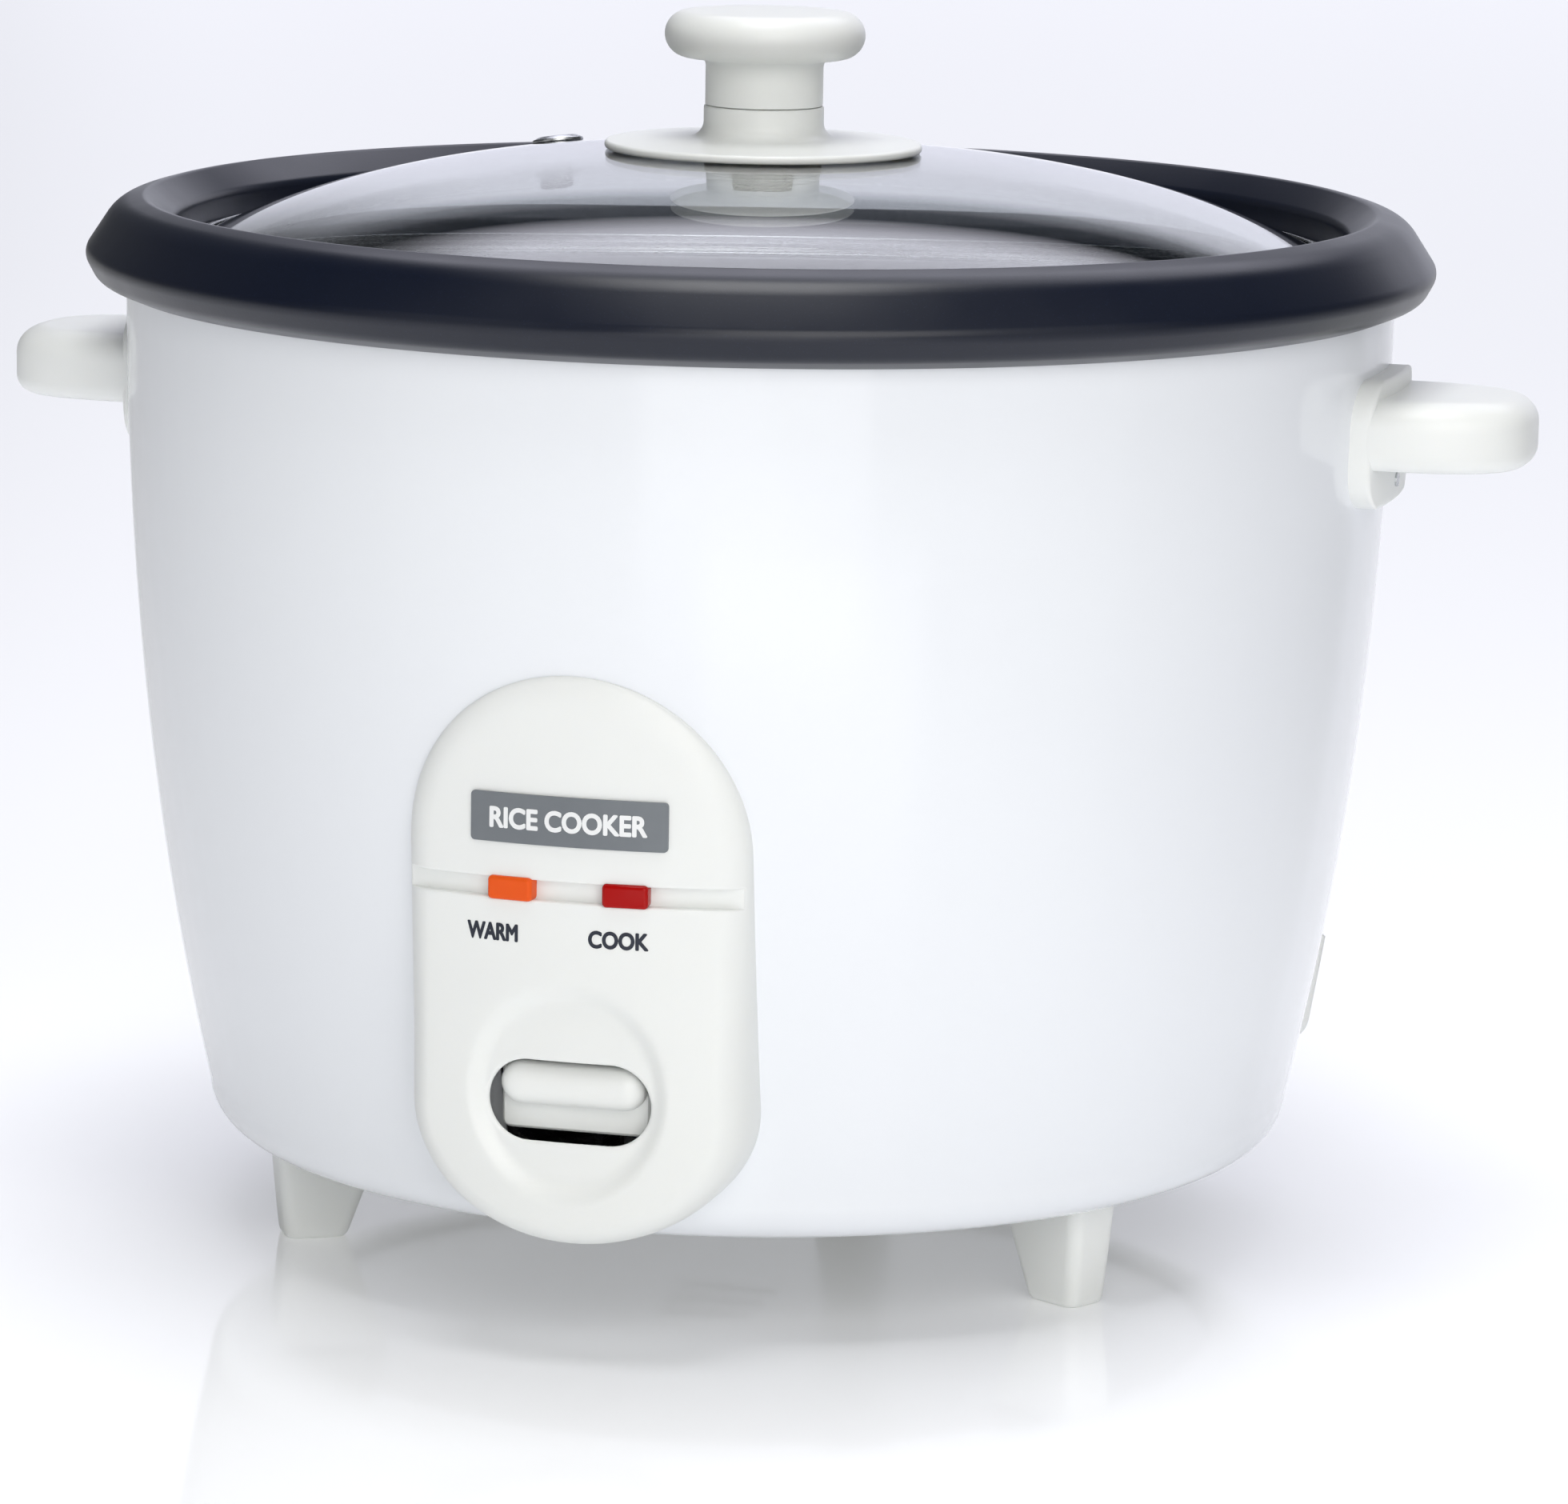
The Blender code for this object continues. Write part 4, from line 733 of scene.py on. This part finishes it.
grip = {"half": 21.5, "reach": gripHigh[0], "root": 131.0, "sunk": 2.5, "power": 2.8, "low": 167.5,
        "high": 181.5, "wall": 3.0, "topRound": 6.2, "topFall": 5.58, "lowRound": 3.8, "lowInset": 3.04,
        "plateLow": gripLow[2], "plateHigh": gripHigh[2], "plateThick": 4.2, "plateCorner": 9.0,
        "plateRound": 0.9, "plateSunk": 0.5}


def gripOutline(inset, count=72):
    # half of a squared oval that reaches out from the drum, closed straight across its root
    turn = np.linspace(0, pi, count)
    half, reach = grip["half"] - inset, grip["reach"] - grip["root"] - inset
    across = -half * np.sign(np.cos(turn)) * np.abs(np.cos(turn)) ** (2 / grip["power"])
    out = grip["root"] + reach * np.abs(np.sin(turn)) ** (2 / grip["power"])
    out[[0, -1]] = grip["root"] - grip["sunk"]
    return np.stack([across, out], axis=-1)


def handlePieces(name, bearing):
    # rings of the same outline, each further in: recess wall, lower edge, side, upper edge, top
    low, high, wall = grip["low"], grip["high"], grip["wall"]
    lowTurn, topTurn = np.linspace(0, pi / 2, 8), np.linspace(0, pi / 2, 12)
    track = [(wall, high - wall), (wall, low + 0.6), (wall - 0.5, low)]
    track += [(grip["lowInset"] * (1 - sin(t)), low + grip["lowRound"] * (1 - cos(t))) for t in lowTurn]
    track += [(grip["topRound"] * (1 - cos(t)), high - grip["topFall"] * (1 - sin(t))) for t in topTurn]
    rings = np.stack([gripOutline(inset) for inset, height in track])
    heights = np.repeat(np.array([height for inset, height in track])[:, None], rings.shape[1], axis=1)
    points = turnTo(np.stack([rings[..., 0], -rings[..., 1], heights], axis=-1), bearing)
    makePiece(name + "Grip", points, ringFaces(len(track), rings.shape[1]), "white_plastic", "root",
              (name + "_handle",))
    handlePlate(name, bearing)


def handlePlate(name, bearing):
    # rows of height times columns across: a plate on the drum's curve with round corners and rolled edges
    low, high, corner, half = grip["plateLow"], grip["plateHigh"], grip["plateCorner"], grip["half"]
    rise = np.linspace(0, pi / 2, 14)
    ends = corner * (1 - np.cos(rise))
    rows = np.unique(np.concatenate([low + ends, high - ends, np.linspace(low + corner, high - corner, 6)]))
    tuck = np.clip(np.maximum(low + corner - rows, rows - high + corner), 0, corner)
    halves = half - corner + np.sqrt(corner ** 2 - tuck ** 2)
    share = np.sin(np.linspace(-pi / 2, pi / 2, 61))
    x = halves[:, None] * share
    z = np.repeat(rows[:, None], len(share), axis=1)
    away = np.minimum(halves[:, None] - np.abs(x), np.minimum(z - low, high - z))
    radius = drumRadius(z) + grip["plateThick"] - roll(away, grip["plateRound"])
    face = np.stack([x, -np.sqrt(radius ** 2 - x ** 2), z], axis=-1)
    ring = np.pad(face, ((1, 1), (1, 1), (0, 0)), mode="edge")
    sunk = -np.sqrt((drumRadius(ring[..., 2]) - grip["plateSunk"]) ** 2 - ring[..., 0] ** 2)
    ring[[0, -1], :, 1] = sunk[[0, -1]]
    ring[:, [0, -1], 1] = sunk[:, [0, -1]]
    faces = gridFaces(*ring.shape[:2])
    makePiece(name + "HandlePlate", turnTo(ring, bearing), faces, "white_plastic", "root")


handlePieces("left", -90)
handlePieces("right", 90)
print("handles made")


foot = {"topSpan": (77.5, 101.0), "baseSpan": (86.0, 99.0), "topWidth": 13.0, "baseWidth": 10.5,
        "corner": 2.8, "edge": 1.0, "edgeShare": 0.06, "swell": 0.8, "sunk": 1.0}


def footPiece(name, node, bearing):
    # a rounded box outline that grows from the table up to the drum, one ring for each height
    edgeShare, baseSpan, topSpan = foot["edgeShare"], foot["baseSpan"], foot["topSpan"]
    share = np.concatenate([[0.0, 0.01, 0.03, edgeShare], np.linspace(0.1, 1.0, 8)])
    tuck = 1 - np.sqrt(np.clip(1 - (1 - share / edgeShare) ** 2, 0, 1))
    tuck = foot["edge"] * tuck * (share < edgeShare)
    inner = baseSpan[0] + (topSpan[0] - baseSpan[0]) * share + tuck
    outer = baseSpan[1] + (topSpan[1] - baseSpan[1]) * share ** foot["swell"] - tuck
    half = (foot["baseWidth"] + (foot["topWidth"] - foot["baseWidth"]) * share) / 2 - tuck
    unit, outward = boxOutline(1.0, 0.0, 1.0, 0.01, 6)
    corner = foot["corner"] - tuck
    side = np.sign(unit[:, 0])
    end = np.sign(unit[:, 1] - 0.5)
    middle = (inner + outer) / 2
    reach = (outer - inner) / 2
    x = side * (half - corner)[:, None] + corner[:, None] * outward[:, 0]
    y = middle[:, None] + end * (reach - corner)[:, None] + corner[:, None] * outward[:, 1]
    z = np.repeat((share * (drum["low"] + foot["sunk"]))[:, None], len(side), axis=1)
    points = turnTo(np.stack([x, -y, z], axis=-1), bearing)
    makePiece(name, points, ringFaces(len(share), len(side)), "white_plastic", "root", (node,))


footPiece("frontLeftFoot", "foot_front_left", -60)
footPiece("frontRightFoot", "foot_front_right", 60)
footPiece("rearFoot", "foot_rear", 180)


inlet = {"bearing": drum["plugBearing"], "half": 17.0, "low": inletLow[2], "high": inletHigh[2],
         "corner": 4.0, "proud": 7.0, "sunk": 3.0, "edge": 1.2, "chamfer": 4.3, "socketHalf": 12.5,
         "socketLow": 39.5, "socketHigh": 54.5, "socketCorner": 3.0, "socketEdge": 0.8, "socketFloor": 111.0,
         "pinRadius": 1.6, "pinHeight": 43.0, "pinSpacing": 8.0, "pinInner": 102.0, "pinOuter": 119.5}


def inletFace(height):
    # the face leans with the drum, and slopes back above its chamfer line
    line = inlet["high"] - inlet["chamfer"]
    return drumRadius(np.minimum(height, line)) + inlet["proud"] - np.clip(height - line, 0, None)


def powerInlet():
    # rings: from inside the drum out along the side, over a round edge, across the face and down the socket
    outer, outward = boxOutline(inlet["half"], inlet["low"], inlet["high"], inlet["corner"])
    mouth, mouthOut = boxOutline(inlet["socketHalf"], inlet["socketLow"], inlet["socketHigh"],
                                 inlet["socketCorner"])
    turn = np.linspace(0, pi / 2, 7)
    edge, lip = inlet["edge"], inlet["socketEdge"]
    rings = [(outer, drumRadius(outer[:, 1]) - inlet["sunk"])]
    rings += [(outer - outward * edge * (1 - cos(t)), inletFace(outer[:, 1]) - edge * (1 - sin(t)))
              for t in turn]
    rings += [(mouth + mouthOut * lip * (1 - sin(t)), inletFace(mouth[:, 1]) - lip * (1 - cos(t)))
              for t in turn]
    rings += [(mouth, np.full(len(mouth), inlet["socketFloor"]))]
    points = np.stack([np.stack([flat[:, 0], -out, flat[:, 1]], axis=-1) for flat, out in rings])
    makePiece("powerInlet", turnTo(points, inlet["bearing"]), ringFaces(len(rings), len(outer)),
              "white_plastic", "root", ("power_inlet",))


def inletPin(name, node, step):
    # a round pin with a tapered tip, (share of its radius, distance from the axis) at each ring
    tip = inlet["pinOuter"]
    track = np.array([(1.0, inlet["pinInner"]), (1.0, tip - 0.9), (0.8, tip - 0.3), (0.45, tip)])
    angle = np.linspace(0, 2 * pi, 25)[:-1]
    across = step * inlet["pinSpacing"] + inlet["pinRadius"] * np.outer(track[:, 0], np.cos(angle))
    up = inlet["pinHeight"] + inlet["pinRadius"] * np.outer(track[:, 0], np.sin(angle))
    pin = np.stack([across, -np.repeat(track[:, 1:], len(angle), axis=1), up], axis=-1)
    faces = ringFaces(len(track), len(angle))
    makePiece(name, turnTo(pin, inlet["bearing"]), faces, "brass", "root", (node,))


powerInlet()
inletPin("livePin", "inlet_pin_live", -1)
inletPin("earthPin", "inlet_pin_earth", 0)
inletPin("neutralPin", "inlet_pin_neutral", 1)
print("feet and inlet made")


nodeSlots = {row["node"]: row["material_slot"] for row in frame["record"]["subparts"]}
for nodeName, nodeObject in frame["nodes"].items():
    if not nodeObject.hide_render:
        slotName = nodeSlots[nodeName]
        nodeObject.data.materials.clear()
        nodeObject.data.materials.append(finishes[slotName])
print("CAD nodes dressed")


view = {"turn": 15.4, "tip": 10.55, "lean": 1.0, "distance": 1.405, "aside": 0.0064, "aim": 0.0988,
        "lens": 155.0}

# glow and glowColour paint light on the floor as emission; the darker grey and the dim settings paint shade
# on its right part
ground = {"reach": 14.0, "colour": "F2F3F7", "paintedShadeColour": "8E9098", "roughness": 0.08, "specular": 0.35,
          "glowColour": "FFFFF8", "glowAcross": (0.08, 0.24), "glow": (0.15, 0.25), "dimFrom": (0.15, 0.4),
          "dimTo": 0.6}


def studioFloor():
    # a wide sheet, white and slightly glossy, with painted light: an emission glow that is least round the
    # object's contact shadow and grows away from it;
    # its right part has painted shade, darker in colour and with less glow, where the way across is over
    # dimFrom of the way along it
    reach = ground["reach"]
    mesh = bpy.data.meshes.new("studioFloor")
    mesh.from_pydata([(-reach, -reach, 0), (reach, -reach, 0), (reach, reach, 0), (-reach, reach, 0)], [],
                     [(0, 1, 2, 3)])
    floor = bpy.data.objects.new("studioFloor", mesh)
    floor.rotation_euler.z = radians(view["turn"])
    made, tree, shader, place = newMaterial("paleLaminate", {
        "Roughness": ground["roughness"], "Specular IOR Level": ground["specular"],
        "Emission Color": hexColour(ground["glowColour"])})
    # painted light: the floor's emission grows from glow[0] near the object to glow[1] away from it
    distance = addNode(tree, "ShaderNodeVectorMath", {"operation": "LENGTH"}, {0: place})
    glow = addNode(tree, "ShaderNodeMapRange", {
        "From Min": ground["glowAcross"][0], "From Max": ground["glowAcross"][1],
        "To Min": ground["glow"][0], "To Max": ground["glow"][1], "interpolation_type": "SMOOTHSTEP"},
        {"Value": distance.outputs["Value"]})
    parts = addNode(tree, "ShaderNodeSeparateXYZ", {}, {0: place})
    away = addNode(tree, "ShaderNodeMath", {"operation": "ADD", 1: view["distance"]}, {0: parts.outputs["Y"]})
    ahead = addNode(tree, "ShaderNodeMath", {"operation": "MAXIMUM", 1: 0.05}, {0: away.outputs["Value"]})
    across = addNode(tree, "ShaderNodeMath", {"operation": "DIVIDE"},
                     {0: parts.outputs["X"], 1: ahead.outputs["Value"]})
    # painted shade: past dimFrom the floor's colour turns to a darker grey and its glow falls towards dimTo
    paintedShade = addNode(tree, "ShaderNodeMapRange", {
        "From Min": ground["dimFrom"][0], "From Max": ground["dimFrom"][1], "To Min": 1.0,
        "To Max": ground["dimTo"], "interpolation_type": "SMOOTHSTEP"}, {"Value": across.outputs["Value"]})
    strength = addNode(tree, "ShaderNodeMath", {"operation": "MULTIPLY"},
                       {0: glow.outputs["Result"], 1: paintedShade.outputs["Result"]})
    addBlend(tree, shader, paintedShade.outputs["Result"], ground["paintedShadeColour"], ground["colour"])
    tree.links.new(strength.outputs["Value"], shader.inputs["Emission Strength"])
    mesh.materials.append(made)
    bpy.context.scene.collection.objects.link(floor)


room = {"rear": (0.1, 0.5), "panelSide": (0.34, 0.5), "behindLevel": 2.1, "aheadLevel": 0.12,
        "behind": ((0.0, "ABACB6"), (0.34, "A8A9B2"), (0.40, "121519"), (0.50, "121519"), (0.56, "F2F2FF"),
                   (0.85, "EEEEFA"), (1.0, "8A8F9A")),
        "ahead": ((0.0, "F0F2F6"), (0.5, "D4D8E0"), (1.0, "A0A5B0"))}


def studioWorld():
    # the room by direction: behind the object a white wall, a dark gap and a lamp panel above it, which the
    # glass mirrors; towards the front plain dim grey
    world = bpy.data.worlds.new("studioRoom")
    bpy.context.scene.world = world
    world.use_nodes = True
    tree = world.node_tree
    place = tree.nodes.new("ShaderNodeTexCoord").outputs["Generated"]
    parts = addNode(tree, "ShaderNodeSeparateXYZ", {}, {0: place})
    rear = addNode(tree, "ShaderNodeMapRange", {
        "From Min": room["rear"][0], "From Max": room["rear"][1], "interpolation_type": "SMOOTHSTEP"},
        {"Value": parts.outputs["Y"]})
    aside = addNode(tree, "ShaderNodeMath", {"operation": "ABSOLUTE"}, {0: parts.outputs["X"]})
    inside = addNode(tree, "ShaderNodeMapRange", {
        "From Min": room["panelSide"][0], "From Max": room["panelSide"][1], "To Min": 1.0, "To Max": 0.0,
        "interpolation_type": "SMOOTHSTEP"}, {"Value": aside.outputs["Value"]})
    share = addNode(tree, "ShaderNodeMath", {"operation": "MULTIPLY"},
                    {0: rear.outputs["Result"], 1: inside.outputs["Result"]})
    walls = []
    for stops, strength in ((room["behind"], room["behindLevel"]), (room["ahead"], room["aheadLevel"])):
        ramp = addNode(tree, "ShaderNodeValToRGB", {}, {0: parts.outputs["Z"]})
        while len(ramp.color_ramp.elements) < len(stops):
            ramp.color_ramp.elements.new(0.5)
        for element, (at, colour) in zip(ramp.color_ramp.elements, stops):
            element.position = at
            element.color = hexColour(colour)
        walls.append(addNode(tree, "ShaderNodeBackground", {"Strength": strength}, {0: ramp.outputs[0]}))
    whole = addNode(tree, "ShaderNodeMixShader", {},
                    {0: share.outputs["Value"], 1: walls[1].outputs[0], 2: walls[0].outputs[0]})
    tree.links.new(whole.outputs[0], tree.nodes["World Output"].inputs["Surface"])


lamps = {  # each softbox: place, aim, width, height and watts
    "frontBox": ((0.95, -1.95, 1.1), (0, 0, 0.12), 1.7, 1.5, 22.3, "FFFDFA"),
    "lowBox": ((0.45, -1.65, 0.2), (0, 0, 0.1), 1.2, 0.35, 2.6),
    "leftBox": ((-0.96, -1.28, 0.75), (0, 0, 0.12), 1.0, 1.5, 1.8),
    "rightBox": ((1.47, -0.63, 0.75), (0, 0, 0.12), 1.0, 1.5, 2.2),
    "topBox": ((0.05, -0.25, 1.7), (0, 0, 0.1), 0.8, 1.0, 13.8)}


def softbox(name, place, aim, width, height, power, colour="FFFFFF"):
    # a rectangular area light at its place, turned to face its aim
    lamp = bpy.data.lights.new(name, "AREA")
    lamp.shape = "RECTANGLE"
    lamp.size, lamp.size_y = width, height
    lamp.energy = power
    lamp.color = hexColour(colour)[:3]
    made = bpy.data.objects.new(name, lamp)
    bpy.context.scene.collection.objects.link(made)
    made.location = place
    made.rotation_euler = (Vector(aim) - Vector(place)).to_track_quat("-Z", "Y").to_euler()


def studioCamera():
    # turned about the drum, tipped down and leaning a little, looking past the aim point from its distance
    turn, tip, lean = radians(view["turn"]), radians(view["tip"]), radians(view["lean"])
    right = np.array([cos(turn), sin(turn), 0])
    forward = np.array([-sin(turn) * cos(tip), cos(turn) * cos(tip), -sin(tip)])
    place = view["aside"] * right + np.array([0, 0, view["aim"]]) - forward * view["distance"]
    lens = bpy.data.cameras.new("studioCamera")
    lens.lens, lens.sensor_width = view["lens"], 36.0
    camera = bpy.data.objects.new("studioCamera", lens)
    bpy.context.scene.collection.objects.link(camera)
    camera.location = place.tolist()
    facing = Vector(forward.tolist()).to_track_quat("-Z", "Y").to_matrix()
    leaning = Matrix.Rotation(lean, 3, "Z")
    camera.rotation_euler = (facing @ leaning).to_euler()
    bpy.context.scene.camera = camera
    bpy.context.scene.view_settings.view_transform = "Standard"  # whites stay white


studioFloor()
studioWorld()
for lampName, lampSetting in lamps.items():
    softbox(lampName, *lampSetting)
studioCamera()
print("studio made")
